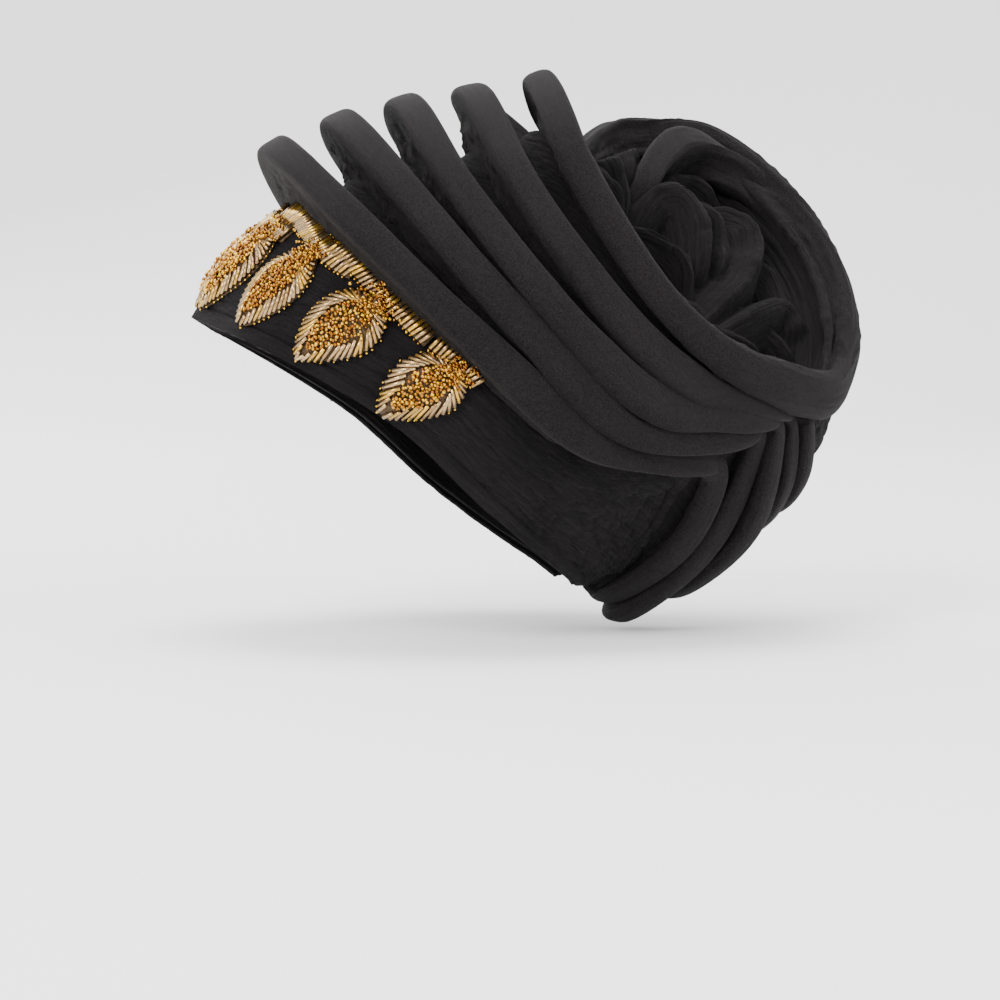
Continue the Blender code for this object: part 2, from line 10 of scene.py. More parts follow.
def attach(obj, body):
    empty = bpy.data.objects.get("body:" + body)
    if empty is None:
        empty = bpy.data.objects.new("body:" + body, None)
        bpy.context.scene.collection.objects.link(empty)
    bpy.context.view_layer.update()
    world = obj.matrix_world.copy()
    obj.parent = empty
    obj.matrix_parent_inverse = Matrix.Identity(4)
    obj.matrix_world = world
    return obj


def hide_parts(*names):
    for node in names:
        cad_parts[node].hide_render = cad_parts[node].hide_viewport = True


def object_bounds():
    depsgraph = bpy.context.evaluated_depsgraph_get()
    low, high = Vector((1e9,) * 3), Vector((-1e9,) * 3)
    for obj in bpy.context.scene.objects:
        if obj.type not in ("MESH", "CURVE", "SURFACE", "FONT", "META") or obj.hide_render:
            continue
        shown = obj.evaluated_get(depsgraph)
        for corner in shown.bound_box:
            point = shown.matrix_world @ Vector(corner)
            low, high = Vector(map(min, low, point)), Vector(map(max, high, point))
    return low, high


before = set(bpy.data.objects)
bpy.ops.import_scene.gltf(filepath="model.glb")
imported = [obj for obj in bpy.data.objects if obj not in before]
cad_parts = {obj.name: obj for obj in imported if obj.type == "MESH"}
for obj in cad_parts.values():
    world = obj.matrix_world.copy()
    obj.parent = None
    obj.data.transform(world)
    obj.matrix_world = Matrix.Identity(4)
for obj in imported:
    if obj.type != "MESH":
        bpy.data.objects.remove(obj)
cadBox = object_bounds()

print("frame loaded:", len(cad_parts), "nodes")

# ---- where things lie, as in the solids: shares of the half width (out), length (back) and height (up)
form = {"out": 0.100, "back": 0.285, "up": 0.243, "columns": 432, "tail": 150.0, "nape": 180.0}

foldPlaces = {
    "stations": (0.0, 45.0, 90.0, 120.0),
    "fold_1": (0.99, 0.00, (0.03, 0.15), (-0.190, 0.570), (-0.122, 0.464), (0.086, 0.214), (0.264, 0.046)),
    "fold_2": (1.00, 0.05, (0.08, 0.15), (-0.093, 0.618), (-0.035, 0.503), (0.156, 0.230), (0.335, 0.058)),
    "fold_3": (0.99, 0.11, (0.14, 0.15), (0.006, 0.648), (0.038, 0.526), (0.200, 0.263), (0.368, 0.109)),
    "fold_4": (0.94, 0.18, (0.20, 0.15), (0.110, 0.668), (0.128, 0.549), (0.261, 0.297), (0.414, 0.147)),
}
hoopPlaces = {
    "stations": (150.0, 165.0, 180.0),
    "hoop_1": (0.57, (0.450, -0.007), (0.398, -0.152), (0.300, -0.250)),
    "hoop_2": (0.52, (0.520, 0.067), (0.455, -0.148), (0.318, -0.290)),
    "hoop_3": (0.505, (0.549, 0.077), (0.521, -0.119), (0.405, -0.250)),
    "hoop_4": (0.44, (0.574, 0.080), (0.578, -0.030), (0.550, -0.126)),
    "hoop_5": (0.40, (0.604, 0.088), (0.605, -0.012), (0.590, -0.080)),
    "middle": (0.40, 0.12),
    "roundness": 0.7,
}
foldSizes = {
    "height": 0.028, "width": 0.0124, "footShare": 0.82, "roomShare": 0.86, "hoopHeight": 0.0085,
    "hoopWidth": 0.0070, "heightShares": (1.00, 0.86, 0.64, 0.50, 0.14), "widthShares": (1.0, 1.0, 1.0, 0.92, 0.42),
    "lastHoopShare": 0.85, "closedShare": 0.15, "toHoop": (138, 158),
}
rimPlaces = {
    "rows": (
        (0, 0.00, 0.204, 0.693, 1.25), (45, 0.62, 0.213, 0.576, 1.10), (90, 0.88, 0.326, 0.321, 0.80),
        (120, 0.76, 0.472, 0.178, 0.56), (150, 0.43, 0.632, 0.120, 0.38), (165, 0.24, 0.675, 0.152, 0.48),
        (180, 0.05, 0.705, 0.225, 0.60), (195, -0.15, 0.710, 0.300, 0.66), (210, -0.36, 0.695, 0.390, 0.70),
        (240, -0.68, 0.620, 0.530, 0.75), (270, -0.84, 0.515, 0.606, 0.75), (300, -0.79, 0.398, 0.612, 0.85),
        (325, -0.54, 0.330, 0.588, 0.62), (340, -0.32, 0.284, 0.552, 0.42), (352, -0.12, 0.232, 0.618, 0.85),
    ),
    "tucked": (272, 292, 342, 356), "narrowed": 0.36, "broad": (95, 150, 190, 245), "broadened": 0.50,
    "height": 0.021, "width": 0.0134, "facing": (0.62, 0.42, 0.66), "lean": 0.7, "depth": 0.043,
}
bandPlaces = {
    "rows": (
        (0, 0.00, -0.305, 0.262), (45, 0.58, -0.236, 0.222), (90, 0.78, -0.036, 0.082),
        (120, 0.69, 0.082, -0.046), (150, 0.50, 0.178, -0.136), (165, 0.31, 0.236, -0.185),
        (180, 0.00, 0.272, -0.228),
    ),
    "toFold": 0.0025, "setBack": 0.012, "behindEar": (138, 155, 160, 178), "bulge": 0.004, "end": 170.0,
    "cloth": 0.002, "gap": 0.0009,
}


def settle(stations, values, at):  # a smooth curve through the stations that never overshoots
    x, y = np.asarray(stations, float), np.asarray(values, float)
    slope = np.diff(y) / np.diff(x)
    tangent = np.zeros(len(x))
    for i in range(1, len(x) - 1):
        if slope[i - 1] * slope[i] > 0:
            tangent[i] = 2 * slope[i - 1] * slope[i] / (slope[i - 1] + slope[i])
    k = np.clip(np.searchsorted(x, at, side="right") - 1, 0, len(x) - 2)
    h = np.diff(x)[k]
    s = (np.asarray(at, float) - x[k]) / h
    rise = 3 * s**2 - 2 * s**3
    leaving, reaching = (s**3 - 2 * s**2 + s) * tangent[k], (s**3 - s**2) * tangent[k + 1]
    return y[k] * (1 - rise) + y[k + 1] * rise + (leaving + reaching) * h


def unit(v):
    return v / np.maximum(np.linalg.norm(v, axis=-1, keepdims=True), 1e-12)


def fade(at, first, last):  # 0 before the first, 1 past the last
    s = np.clip((at - first) / (last - first), 0, 1)
    return s * s * (3 - 2 * s)


def between(at, start, full, still, end):  # rises from start to full, falls from still to end
    return fade(at, start, full) * (1 - fade(at, still, end))


def place(out, back, up):
    return np.stack(np.broadcast_arrays(out * form["out"], back * form["back"], up * form["up"]), axis=-1)


def bell(sigma):
    reach = int(3 * sigma) + 1
    kernel = np.exp(-0.5 * (np.arange(-reach, reach + 1) / sigma) ** 2)
    return reach, kernel / kernel.sum()


def soften(values, degrees):  # rounds off what runs round the head, over so many degrees
    reach, kernel = bell(degrees * len(values) / 360)
    return sum(weight * np.roll(values, offset, axis=0) for offset, weight in zip(range(-reach, reach + 1), kernel))


turns = np.arange(form["columns"]) * 360.0 / form["columns"]
sideTurns = np.minimum(turns, 360 - turns)
onRight = turns > 180
sideSigns = np.where(onRight, -1.0, 1.0)
liftShares = np.where(onRight, np.sin(np.radians(turns)) ** 2, 0.0)


def hoopOut(half):  # how far out a hoop lies that closes round the nape
    roundNape = np.clip((sideTurns - form["tail"]) / (form["nape"] - form["tail"]), 0, 1)
    return half * np.clip(np.cos(roundNape * math.pi / 2), 0, 1) ** hoopPlaces["roundness"]


def foldCrests(fold, hoop):
    half, lift, middle, *front = foldPlaces[fold]
    tailHalf, *rear = hoopPlaces[hoop]
    stations = foldPlaces["stations"] + hoopPlaces["stations"]
    back, up = (settle(stations, values, sideTurns) for values in zip(*front, *rear))
    drawnIn = tailHalf / (half * math.sin(math.radians(form["tail"]))) - 1
    over = np.clip(sideTurns / form["tail"], 0, 1)
    foldOut = half * np.sin(np.radians(sideTurns)) * (1 + drawnIn * over**3)
    out = np.where(sideTurns > form["tail"], hoopOut(tailHalf), foldOut) * sideSigns
    return place(out, back + 0.4 * lift * liftShares, up + lift * liftShares)


def crestDirections(crests, middle):
    nearNape = fade(sideTurns, 125, 160)[:, None]
    centre = place(0, *middle) * (1 - nearNape) + place(0, *hoopPlaces["middle"]) * nearNape
    return unit(crests - centre)


def roomBetween(ring, other):
    found = np.full(len(ring), 9.0)
    for k in range(0, len(ring), 2):
        window = np.take(other, np.arange(k - 40, k + 41), axis=0, mode="wrap")
        nearest = np.linalg.norm(window - ring[k], axis=1).min()
        found[k] = found[(k + 1) % len(ring)] = nearest
    return found


def roomBeside(ring, before, after):
    return soften(np.minimum(roomBetween(ring, before), roomBetween(ring, after)), 3)


def makeFin(crests, up, heights, widths):  # what a padded fold stands on: its feet, its way up and across
    across = unit(np.cross(up, np.roll(crests, -1, axis=0) - np.roll(crests, 1, axis=0)))
    base = crests - up * heights[:, None]
    foot = across * widths[:, None] * foldSizes["footShare"] / 2
    return {"up": up, "across": across, "heights": heights, "widths": widths, "base": base,
            "front": base - foot, "back": base + foot, "crests": crests}


def runsThrough(rows, at):  # rows of a turn and its values: each value as a smooth run over the turns asked for
    t, *columns = (np.array(c) for c in zip(*rows))
    return [settle(t, c, at) for c in columns]


def layOutRim():
    look, rows = rimPlaces, rimPlaces["rows"]
    closed = [(r[0] - 360, *r[1:]) for r in rows[-5:]] + list(rows) + [(r[0] + 360, *r[1:]) for r in rows[:3]]
    out, back, up, shares = runsThrough(closed, turns)
    rim = soften(place(out, back, up), 4)
    lengths = np.linalg.norm(np.roll(rim, -1, axis=0) - np.roll(rim, 1, axis=0), axis=1)
    centre = np.average(rim, axis=0, weights=lengths)
    facing = unit(np.array(look["facing"]))
    rimUp = unit(unit(rim - centre) + facing * look["lean"])
    widths = look["width"] * (1 - look["narrowed"] * between(turns, *look["tucked"])
                              + look["broadened"] * between(turns, *look["broad"]))
    return makeFin(rim, rimUp, look["height"] * shares, widths), centre, facing


def layOut():
    look = foldSizes
    stations = foldPlaces["stations"] + hoopPlaces["stations"]
    heights = [look["height"] * s for s in look["heightShares"]]
    heights += [look["hoopHeight"] * s for s in (1, look["lastHoopShare"])]
    widths = [look["width"] * s for s in look["widthShares"]] + [look["hoopWidth"]] * 2
    heights, widths = (soften(settle(stations, sizes, sideTurns), 3) for sizes in (heights, widths))
    rimFin, centre, facing = layOutRim()
    out, back, up = runsThrough(bandPlaces["rows"], sideTurns)
    edge = soften(place(out * sideSigns, back, up), 2.5)

    names = [n for n in foldPlaces if n.startswith("fold")]
    crests = [soften(foldCrests(f, f.replace("fold", "hoop")), 3.5) for f in names]
    rings = [edge] + crests + [rimFin["crests"]]
    fins = []
    for i, name in enumerate(names):
        direction = crestDirections(crests[i], foldPlaces[name][2])
        room = look["roomShare"] * roomBeside(crests[i], rings[i], rings[i + 2])
        fins.append(makeFin(crests[i], direction, heights, np.minimum(widths, room)))

    # the last hoop has no fold of its own: over the head its ring runs midway between fold 4 and the rim, closed
    toHoop = fade(sideTurns, *look["toHoop"])[:, None]
    half, *rear = hoopPlaces["hoop_5"]
    held = np.clip(sideTurns, form["tail"], form["nape"])
    back, up = (settle(hoopPlaces["stations"], values, held) for values in zip(*rear))
    hoop = place(hoopOut(half) * sideSigns, back, up)
    midway = (fins[-1]["back"] + rimFin["front"]) / 2
    ring = soften(midway * (1 - toHoop) + hoop * toHoop, 2.5)
    narrow = look["closedShare"] * look["hoopWidth"]
    room = look["roomShare"] * roomBeside(ring, crests[-1], rimFin["crests"])
    lastWidths = narrow + (np.minimum(widths, room) - narrow) * toHoop[:, 0]
    fins.append(makeFin(ring, crestDirections(ring, foldPlaces["fold_4"][2]), heights * toHoop[:, 0], lastWidths))
    return edge, fins, rimFin, centre, facing


edge, fins, rimFin, bowlCentre, bowlFacing = layOut()
bowlUp = unit(np.array([0.0, 0.0, 1.0]) - bowlFacing * bowlFacing[2])
bowlRight = np.cross(bowlUp, bowlFacing)
bowlRadius = float(np.linalg.norm(rimFin["back"] - bowlCentre, axis=1).mean())
print("laid out", form["columns"], "columns, bowl radius", round(bowlRadius, 4))


# ---- patterns that the cloth is worked with
def cellNoise(u, v, seed, wrap=None):  # smooth noise from -1 to 1; wrap closes it after so many cells of u
    cells = np.random.default_rng(seed).uniform(-1, 1, (wrap or 256, 256))
    u0, v0 = np.floor(u).astype(int), np.floor(v).astype(int)
    fu, fv = u - u0, v - v0
    fu, fv = fu * fu * (3 - 2 * fu), fv * fv * (3 - 2 * fv)
    n, m = cells.shape
    low = cells[u0 % n, v0 % m] * (1 - fu) + cells[(u0 + 1) % n, v0 % m] * fu
    high = cells[u0 % n, (v0 + 1) % m] * (1 - fu) + cells[(u0 + 1) % n, (v0 + 1) % m] * fu
    return low * (1 - fv) + high * fv


def crinkles(u, v, long, pitch, seed, wrap=None):  # creases that run along u, 0 on the flats to -1 in a crease
    count = None if wrap is None else max(3, int(round(wrap / long)))
    across = u / long if wrap is None else u * count / wrap
    drift = cellNoise(across, v / (4 * pitch), seed, count) * 1.1
    broad = 1 - np.abs(cellNoise(across, v / pitch + drift, seed + 1, count))
    twice = None if count is None else 2 * count
    fine = 1 - np.abs(cellNoise(across * 2, v / (0.53 * pitch) + drift * 1.6, seed + 2, twice))
    return -(0.68 * broad**5 + 0.32 * fine**4)


# ---- mesh making
def linked(name, data):
    obj = bpy.data.objects.new(name, data)
    bpy.context.scene.collection.objects.link(obj)
    return obj


def meshObject(name, points, faces, uvs=None, period=None):  # period: how far u runs right round
    mesh = bpy.data.meshes.new(name)
    mesh.from_pydata(points.tolist(), [], faces)
    if uvs is not None:
        layer = mesh.uv_layers.new(name="clothUV")
        corner = np.empty(len(mesh.loops), int)
        mesh.loops.foreach_get("vertex_index", corner)
        flat = np.asarray(uvs, float)[corner]
        if period is not None:
            starts = np.empty(len(mesh.polygons), int)
            mesh.polygons.foreach_get("loop_start", starts)
            highest = np.maximum.reduceat(flat[:, 0], starts)
            sizes = np.diff(np.append(starts, len(flat)))
            flat[:, 0] += np.where(np.repeat(highest, sizes) - flat[:, 0] > period / 2, period, 0)
        layer.data.foreach_set("uv", flat.ravel())
    mesh.update()
    mesh.shade_smooth()
    return linked(name, mesh)


def gridFaces(rows, columns, closedRows=False, closedColumns=True):
    r = np.arange(rows if closedRows else rows - 1)
    c = np.arange(columns if closedColumns else columns - 1)
    rr, cc = np.meshgrid(r, c, indexing="ij")
    r2, c2 = (rr + 1) % rows, (cc + 1) % columns
    quads = np.stack([rr * columns + cc, rr * columns + c2, r2 * columns + c2, r2 * columns + cc], axis=-1)
    return quads.reshape(-1, 4).tolist()


def gridNormals(grid):
    return unit(np.cross(np.roll(grid, -1, axis=1) - np.roll(grid, 1, axis=1), np.gradient(grid, axis=0)))


def runAlong(grid, closed=True):  # metres along each row, and the length right round it
    step = np.linalg.norm(np.roll(grid, -1, axis=1) - grid, axis=2)
    total = step.sum(axis=1) if closed else step[:, :-1].sum(axis=1)
    return np.concatenate([np.zeros((len(grid), 1)), np.cumsum(step, axis=1)[:, :-1]], axis=1), total


def runAcross(grid):  # metres up each column
    step = np.linalg.norm(np.diff(grid, axis=0), axis=2)
    return np.concatenate([np.zeros((1, grid.shape[1])), np.cumsum(step, axis=0)], axis=0)


def applyModifiers(obj):
    graph = bpy.context.evaluated_depsgraph_get()
    mesh = bpy.data.meshes.new_from_object(obj.evaluated_get(graph), preserve_all_data_layers=True, depsgraph=graph)
    old = obj.data
    obj.modifiers.clear()
    obj.data = mesh
    bpy.data.meshes.remove(old)
    return obj


def thicken(obj, amount):
    cloth = obj.modifiers.new("cloth", "SOLIDIFY")
    cloth.thickness, cloth.offset, cloth.use_even_offset = amount, -1, False
    return applyModifiers(obj)


# ---- materials
def nodeMaterial(name):
    material = bpy.data.materials.new(name)
    material.use_nodes = True
    tree = material.node_tree
    return material, tree, tree.nodes["Principled BSDF"]


def node(tree, kind, inputs=None, **settings):
    made = tree.nodes.new(kind)
    for key, value in settings.items():
        setattr(made, key, value)
    for key, value in (inputs or {}).items():
        if isinstance(value, bpy.types.NodeSocket):
            tree.links.new(value, made.inputs[key])
        else:
            made.inputs[key].default_value = value
    return made


def outOf(tree, kind, inputs=None, **settings):
    return node(tree, kind, inputs, **settings).outputs[0]


def ramp(tree, factor, stops):
    made = node(tree, "ShaderNodeValToRGB", {0: factor})
    elements = made.color_ramp.elements
    while len(elements) < len(stops):
        elements.new(0.5)
    for element, (at, colour) in zip(elements, stops):
        element.position, element.color = at, (*colour, 1)
    return made.outputs[0]


def noise(tree, vector, scale, detail, extra=None):
    inputs = {"Vector": vector, "Scale": scale, "Detail": detail, **(extra or {})}
    return outOf(tree, "ShaderNodeTexNoise", inputs)


def whereAt(tree):
    return node(tree, "ShaderNodeTexCoord").outputs["Object"]


def timesPlus(tree, first, times, plus):
    return outOf(tree, "ShaderNodeMath", {0: first, 1: times, 2: plus}, operation="MULTIPLY_ADD")


def connect(tree, shader, colour, bumps, rough=None):  # bumps: height, strength and distance, the finest first
    tree.links.new(colour, shader.inputs["Base Color"])
    normal = {}
    for height, strength, distance in bumps:
        inputs = {"Height": height, "Strength": strength, "Distance": distance, **normal}
        normal = {"Normal": outOf(tree, "ShaderNodeBump", inputs)}
    tree.links.new(normal["Normal"], shader.inputs["Normal"])
    if rough:
        factor, (least, most) = rough
        found = outOf(tree, "ShaderNodeMapRange", {0: factor, 3: least, 4: most})
        tree.links.new(found, shader.inputs["Roughness"])


def setInputs(shader, values):
    for label, value in values.items():
        shader.inputs[label].default_value = value


crepeLook = {
    "shades": ((0.22, (0.0013, 0.0011, 0.0012)), (0.62, (0.0092, 0.0079, 0.0084))), "rough": (0.82, 0.96),
    "weave": 1260.0, "weaveShare": 0.35, "weaveBump": (0.28, 0.00035), "patches": 34.0, "lift": 0.18,
    "creaseScale": (34, 560, 1), "creases": (1.0, 5.0, {"Roughness": 0.62, "Distortion": 0.5}),
    "creaseBump": (1.0, 0.0032),
    "shine": {"Sheen Weight": 0.018, "Sheen Roughness": 0.45, "Sheen Tint": (0.80, 0.76, 0.78, 1),
              "Specular IOR Level": 0.10},
}
paddedLook = {
    "shades": ((0.40, (0.0018, 0.0015, 0.0016)), (0.74, (0.0112, 0.0094, 0.0098))), "rough": (0.81, 0.92),
    "weave": 1900.0, "weaveTone": (1.90, -0.56), "weaveBump": (1.0, 0.0006), "patches": 26.0, "patchTone": 0.35,
    "creaseScale": (22, 330, 1), "creases": (1.0, 4.0, {"Roughness": 0.6}), "creaseBump": (0.40, 0.0018),
    "shine": {"Sheen Weight": 0.026, "Sheen Roughness": 0.38, "Sheen Tint": (0.92, 0.86, 0.87, 1),
              "Specular IOR Level": 0.12},
}


def clothMaterial(name, look, tone):  # fine creases that run along the cloth, over a close weave; on the crepe the creases are also painted darker, as painted shade
    material, tree, shader = nodeMaterial(name)
    where = whereAt(tree)
    uv = outOf(tree, "ShaderNodeUVMap", uv_map="clothUV")
    pulled = outOf(tree, "ShaderNodeMapping", {"Vector": uv, "Scale": look["creaseScale"]})
    creases = noise(tree, pulled, *look["creases"])
    patches = noise(tree, where, look["patches"], 3.0)
    weave = noise(tree, where, look["weave"], 2.0, {"Roughness": 0.7})
    colour = ramp(tree, tone(tree, weave, patches, creases), look["shades"])
    if "weaveShare" in look:
        inputs = {0: look["weaveShare"], 1: colour, 2: weave}
        colour = outOf(tree, "ShaderNodeMixRGB", inputs, blend_type="OVERLAY")
    connect(tree, shader, colour, ((weave, *look["weaveBump"]), (creases, *look["creaseBump"])), (patches, look["rough"]))
    setInputs(shader, look["shine"])
    return material


# painted shade: the crepe's colour follows the crease bump and is darker in the creases, times a patchy random tone
def crepeCreaseShade(tree, weave, patches, creases):
    return timesPlus(tree, creases, patches, crepeLook["lift"])


def paddedTone(tree, weave, patches, creases):  # the same cloth drawn smooth over foam: an even, slightly furry grain
    return timesPlus(tree, patches, paddedLook["patchTone"], timesPlus(tree, weave, *paddedLook["weaveTone"]))


beadLook = {
    "shades": ((0.08, (0.47, 0.325, 0.170)), (0.35, (0.26, 0.160, 0.068)), (0.66, (0.74, 0.445, 0.042)),
               (1.0, (0.27, 0.100, 0.008))),
    "rough": (0.16, 0.38), "streaks": 700.0, "streakShare": 0.22, "bump": (0.12, 0.0004),
    "shine": {"Metallic": 0.92, "Coat Weight": 0.16, "Coat Roughness": 0.08},
}


def beadMaterial():  # metal-lined glass: champagne bugles, gold to amber seeds, each bead its own shade
    material, tree, shader = nodeMaterial("beadwork")
    tone = node(tree, "ShaderNodeAttribute", attribute_name="beadTone").outputs["Fac"]
    streak = noise(tree, whereAt(tree), beadLook["streaks"], 2.0)
    colour = ramp(tree, timesPlus(tree, streak, beadLook["streakShare"], tone), beadLook["shades"])
    connect(tree, shader, colour, ((streak, *beadLook["bump"]),), (streak, beadLook["rough"]))
    setInputs(shader, beadLook["shine"])
    return material


backingLook = {"threads": 1300.0, "shades": ((0.3, (0.030, 0.015, 0.005)), (0.75, (0.13, 0.075, 0.028))),
               "bump": (0.6, 0.0005), "shine": {"Roughness": 0.62, "Metallic": 0.35}}


def backingMaterial():  # stiff net and thread under the beads
    material, tree, shader = nodeMaterial("beadBacking")
    threads = noise(tree, whereAt(tree), backingLook["threads"], 3.0)
    connect(tree, shader, ramp(tree, threads, backingLook["shades"]), ((threads, *backingLook["bump"]),))
    setInputs(shader, backingLook["shine"])
    return material


materials = {"crepe": clothMaterial("crepeCloth", crepeLook, crepeCreaseShade),
             "padded": clothMaterial("paddedCloth", paddedLook, paddedTone),
             "beads": beadMaterial(), "backing": backingMaterial()}
print("materials ready")


def settleOn(obj, material, slot, *nodes):
    obj.data.materials.clear()
    obj.data.materials.append(materials[material])
    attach(obj, "root")
    if nodes:
        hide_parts(*nodes)
    return obj


def makeSheet(obj, held, thickness, slot, *nodes):  # it gets its thickness, then the crepe
    thicken(obj, thickness)
    settleOn(obj, "crepe", slot, *nodes)


# ---- the band over the brow
bandLook = {
    "rows": 96, "thickness": 0.0019, "aback": (60, 125), "hemBack": (128, 140),
    "crinkle": 0.00115, "pitch": 0.0036, "run": 0.030, "fineShare": 0.6, "finePitch": 0.0018, "fineRun": 0.012,
    "sag": 0.010, "sagRun": 0.09, "crumple": 0.0011, "crumples": (0.013, 0.0052), "dents": (0.010, 0.0046),
    "bend": 0.006, "hem": 0.0065, "hemLift": 0.0007, "stitch": 0.0007, "endHem": 0.0070, "endLift": 0.0008,
    "endStitch": 0.0008, "endStitchWide": 0.0006,
}


def bandGrid():
    front = fins[0]["front"]
    reach = bandPlaces["toFold"] + bandPlaces["setBack"] * between(sideTurns, *bandPlaces["behindEar"])
    top = front + unit(edge - front) * reach[:, None]
    rows = []
    for share in np.linspace(0, 1, bandLook["rows"]):
        row = edge * (1 - share) + top * share
        out = unit(row * np.array([1.0, 1.0, 0.3]) - place(0, 0.05, 0.0))
        rows.append(row + out * bandPlaces["bulge"] * math.sin(math.pi * share))
    return np.array(rows)


bandRows = bandGrid()
bandNormals = gridNormals(bandRows)


def makeBand():
    look = bandLook
    signed = np.where(onRight, turns - 360, turns)
    keep = np.argsort(signed)
    keep = keep[sideTurns[keep] <= bandPlaces["end"]]
    grid, normals, aside = bandRows[:, keep], bandNormals[:, keep], sideTurns[keep][None]
    u, total = runAlong(grid, closed=False)
    v = runAcross(grid)
    middle = u - u[:, len(keep) // 2][:, None]
    sag = look["sag"] * np.cos(middle / look["sagRun"])
    work = crinkles(middle + 1.0, v + sag, look["run"], look["pitch"], 11)
    work += look["fineShare"] * crinkles(middle + 2.0, v + 1.6 * sag, look["fineRun"], look["finePitch"], 17)
    nearHem = 1 - fade(v, look["hem"] * 0.7, look["hem"] * 1.1)
    lift = work * look["crinkle"] * (1 - 0.75 * nearHem) + look["hemLift"] * nearHem
    lift -= look["stitch"] * np.exp(-((v - look["hem"]) / look["stitch"]) ** 2)

    # behind the ear it is crumpled, and its top edge shows as a second hem
    bent = middle + look["bend"] * cellNoise(middle / 0.02 + 9, v / 0.011 + 5, 71)
    crumples = crinkles(bent + 3.0, v + 0.35 * np.abs(middle), *look["crumples"], 67)
    dents = crinkles(v + 4.0, bent + 5.0, *look["dents"], 73)
    lift += look["crumple"] * fade(aside, *look["aback"]) * (crumples + 0.5 * dents) * (1 - 0.6 * nearHem)
    fromTop = v[-1] - v
    shows = fade(aside, *look["hemBack"])
    lift += look["endLift"] * (1 - fade(fromTop, look["endHem"] * 0.8, look["endHem"])) * shows
    lift -= look["endStitch"] * np.exp(-((fromTop - look["endHem"]) / look["endStitchWide"]) ** 2) * shows

    points = (grid + normals * lift[..., None]).reshape(-1, 3)
    faces = gridFaces(*lift.shape, closedColumns=False)
    obj = meshObject("bandCloth", points, faces, np.stack([middle, v], -1).reshape(-1, 2))
    makeSheet(obj, "stretched", look["thickness"], "crepe_cloth", "band")
    return float(total.mean()), float(v[-1].mean())


bandLength, bandHeight = makeBand()
print("band made", round(bandLength, 3), "by", round(bandHeight, 3))


# ---- the crown: cloth under the band and between the folds, then the pouch up to the rim
crownLook = {"valleyRows": 10, "dip": 0.0030, "pouchRows": 56, "pouchBulge": 0.0085, "crinkle": 0.0013, "pitch": 0.0034,
             "run": 0.030, "drape": 0.0022, "thickness": 0.0018, "round": 0.5}


def makeCrown():
    look = crownLook
    under = bandRows[::19] - bandNormals[::19] * (bandPlaces["cloth"] + bandPlaces["gap"])
    under[0] = under[0] * 0.92 + under[1] * 0.08
    rows, weights = list(under), [0.0] * len(under)
    pouchGap = np.linalg.norm(rimFin["front"] - fins[-1]["back"], axis=1)
    for fin, following in zip(fins, fins[1:] + [rimFin]):
        rows += [fin["front"], fin["back"]]
        weights += [0.0, 0.3]
        if following is rimFin:
            count, depth = look["pouchRows"], look["pouchBulge"] * np.clip(pouchGap / 0.05, 0, 1)[:, None]
            out, power = unit(fin["up"] + following["up"]), 0.8
        else:
            count, depth, out, power = look["valleyRows"], -look["dip"], fin["up"], 1
        for share in np.linspace(0, 1, count + 2)[1:-1]:
            row = fin["back"] * (1 - share) + following["front"] * share
            rows.append(row + out * depth * math.sin(math.pi * share) ** power)
            weights.append(math.sin(math.pi * share) ** 0.4)
    grid = np.array(rows + [rimFin["front"]])
    u, total = runAlong(grid)
    v = runAcross(grid)
    along = u / total[:, None] * look["round"]
    work = crinkles(along, v, look["run"], look["pitch"], 23, wrap=look["round"])
    lift = work * look["crinkle"] * np.array(weights + [0.0])[:, None]

    # the pouch hangs in gathers and drapes
    across = np.linspace(0, 1, look["pouchRows"])[:, None]
    turned = np.broadcast_to(turns[None] / 360, (len(across), len(turns)))
    gather = crinkles(across * 0.4 + turned * 0, turned * 40 + across * 1.2 * np.sin(turned * 6.28), 0.3, 0.62, 31)
    drapes = cellNoise(turned * 22, across * 1.5, 37, 22)
    lift[-1 - len(across):-1] += np.sin(math.pi * across) ** 0.6 * np.clip(pouchGap / 0.03, 0, 1) * (
        look["drape"] * (0.55 * gather + 0.5 * drapes))

    points = (grid + gridNormals(grid) * lift[..., None]).reshape(-1, 3)
    uvs = np.stack([along, v], -1).reshape(-1, 2)
    obj = meshObject("crownCloth", points, gridFaces(*lift.shape), uvs, period=look["round"])
    makeSheet(obj, "gathered", look["thickness"], "crepe_cloth", "crown")


makeCrown()
print("crown made")


# ---- padded folds: broad ribbons over the head, whose tails tuck under one another; hoops run round the nape
padLook = {
    "flank": 10, "top": 31, "square": 3.3, "sink": 0.0016, "corner": 0.62, "cornerShare": 0.6, "least": 0.0012,
    "crinkle": 0.0021, "pitch": 0.0028, "run": 0.030, "wander": 0.0005, "lumps": (0.045, 0.012), "tall": 0.012,
    "low": (0.38, 0.84), "crease": 0.0013, "creasePitch": 0.0027, "creaseRun": 0.085, "inner": (0.30, 0.52),
}


def padOutline(square):  # one section across a fold, foot to foot: x in half widths, then the flank's and the top's rise
    flank = np.linspace(0, 1, padLook["flank"], endpoint=False)
    arc = np.linspace(math.pi, 0, padLook["top"])
    topX = np.sign(np.cos(arc)) * np.abs(np.cos(arc)) ** (2 / square)
    foot = foldSizes["footShare"]
    curve = np.interp(flank, [0, 0.5, 1], [foot, 0.9 * foot, 1.0]) - 0.10 * np.sin(math.pi * flank)
    return np.concatenate([-curve, topX, curve[::-1]]), flank, np.abs(np.sin(arc)) ** (2 / square)


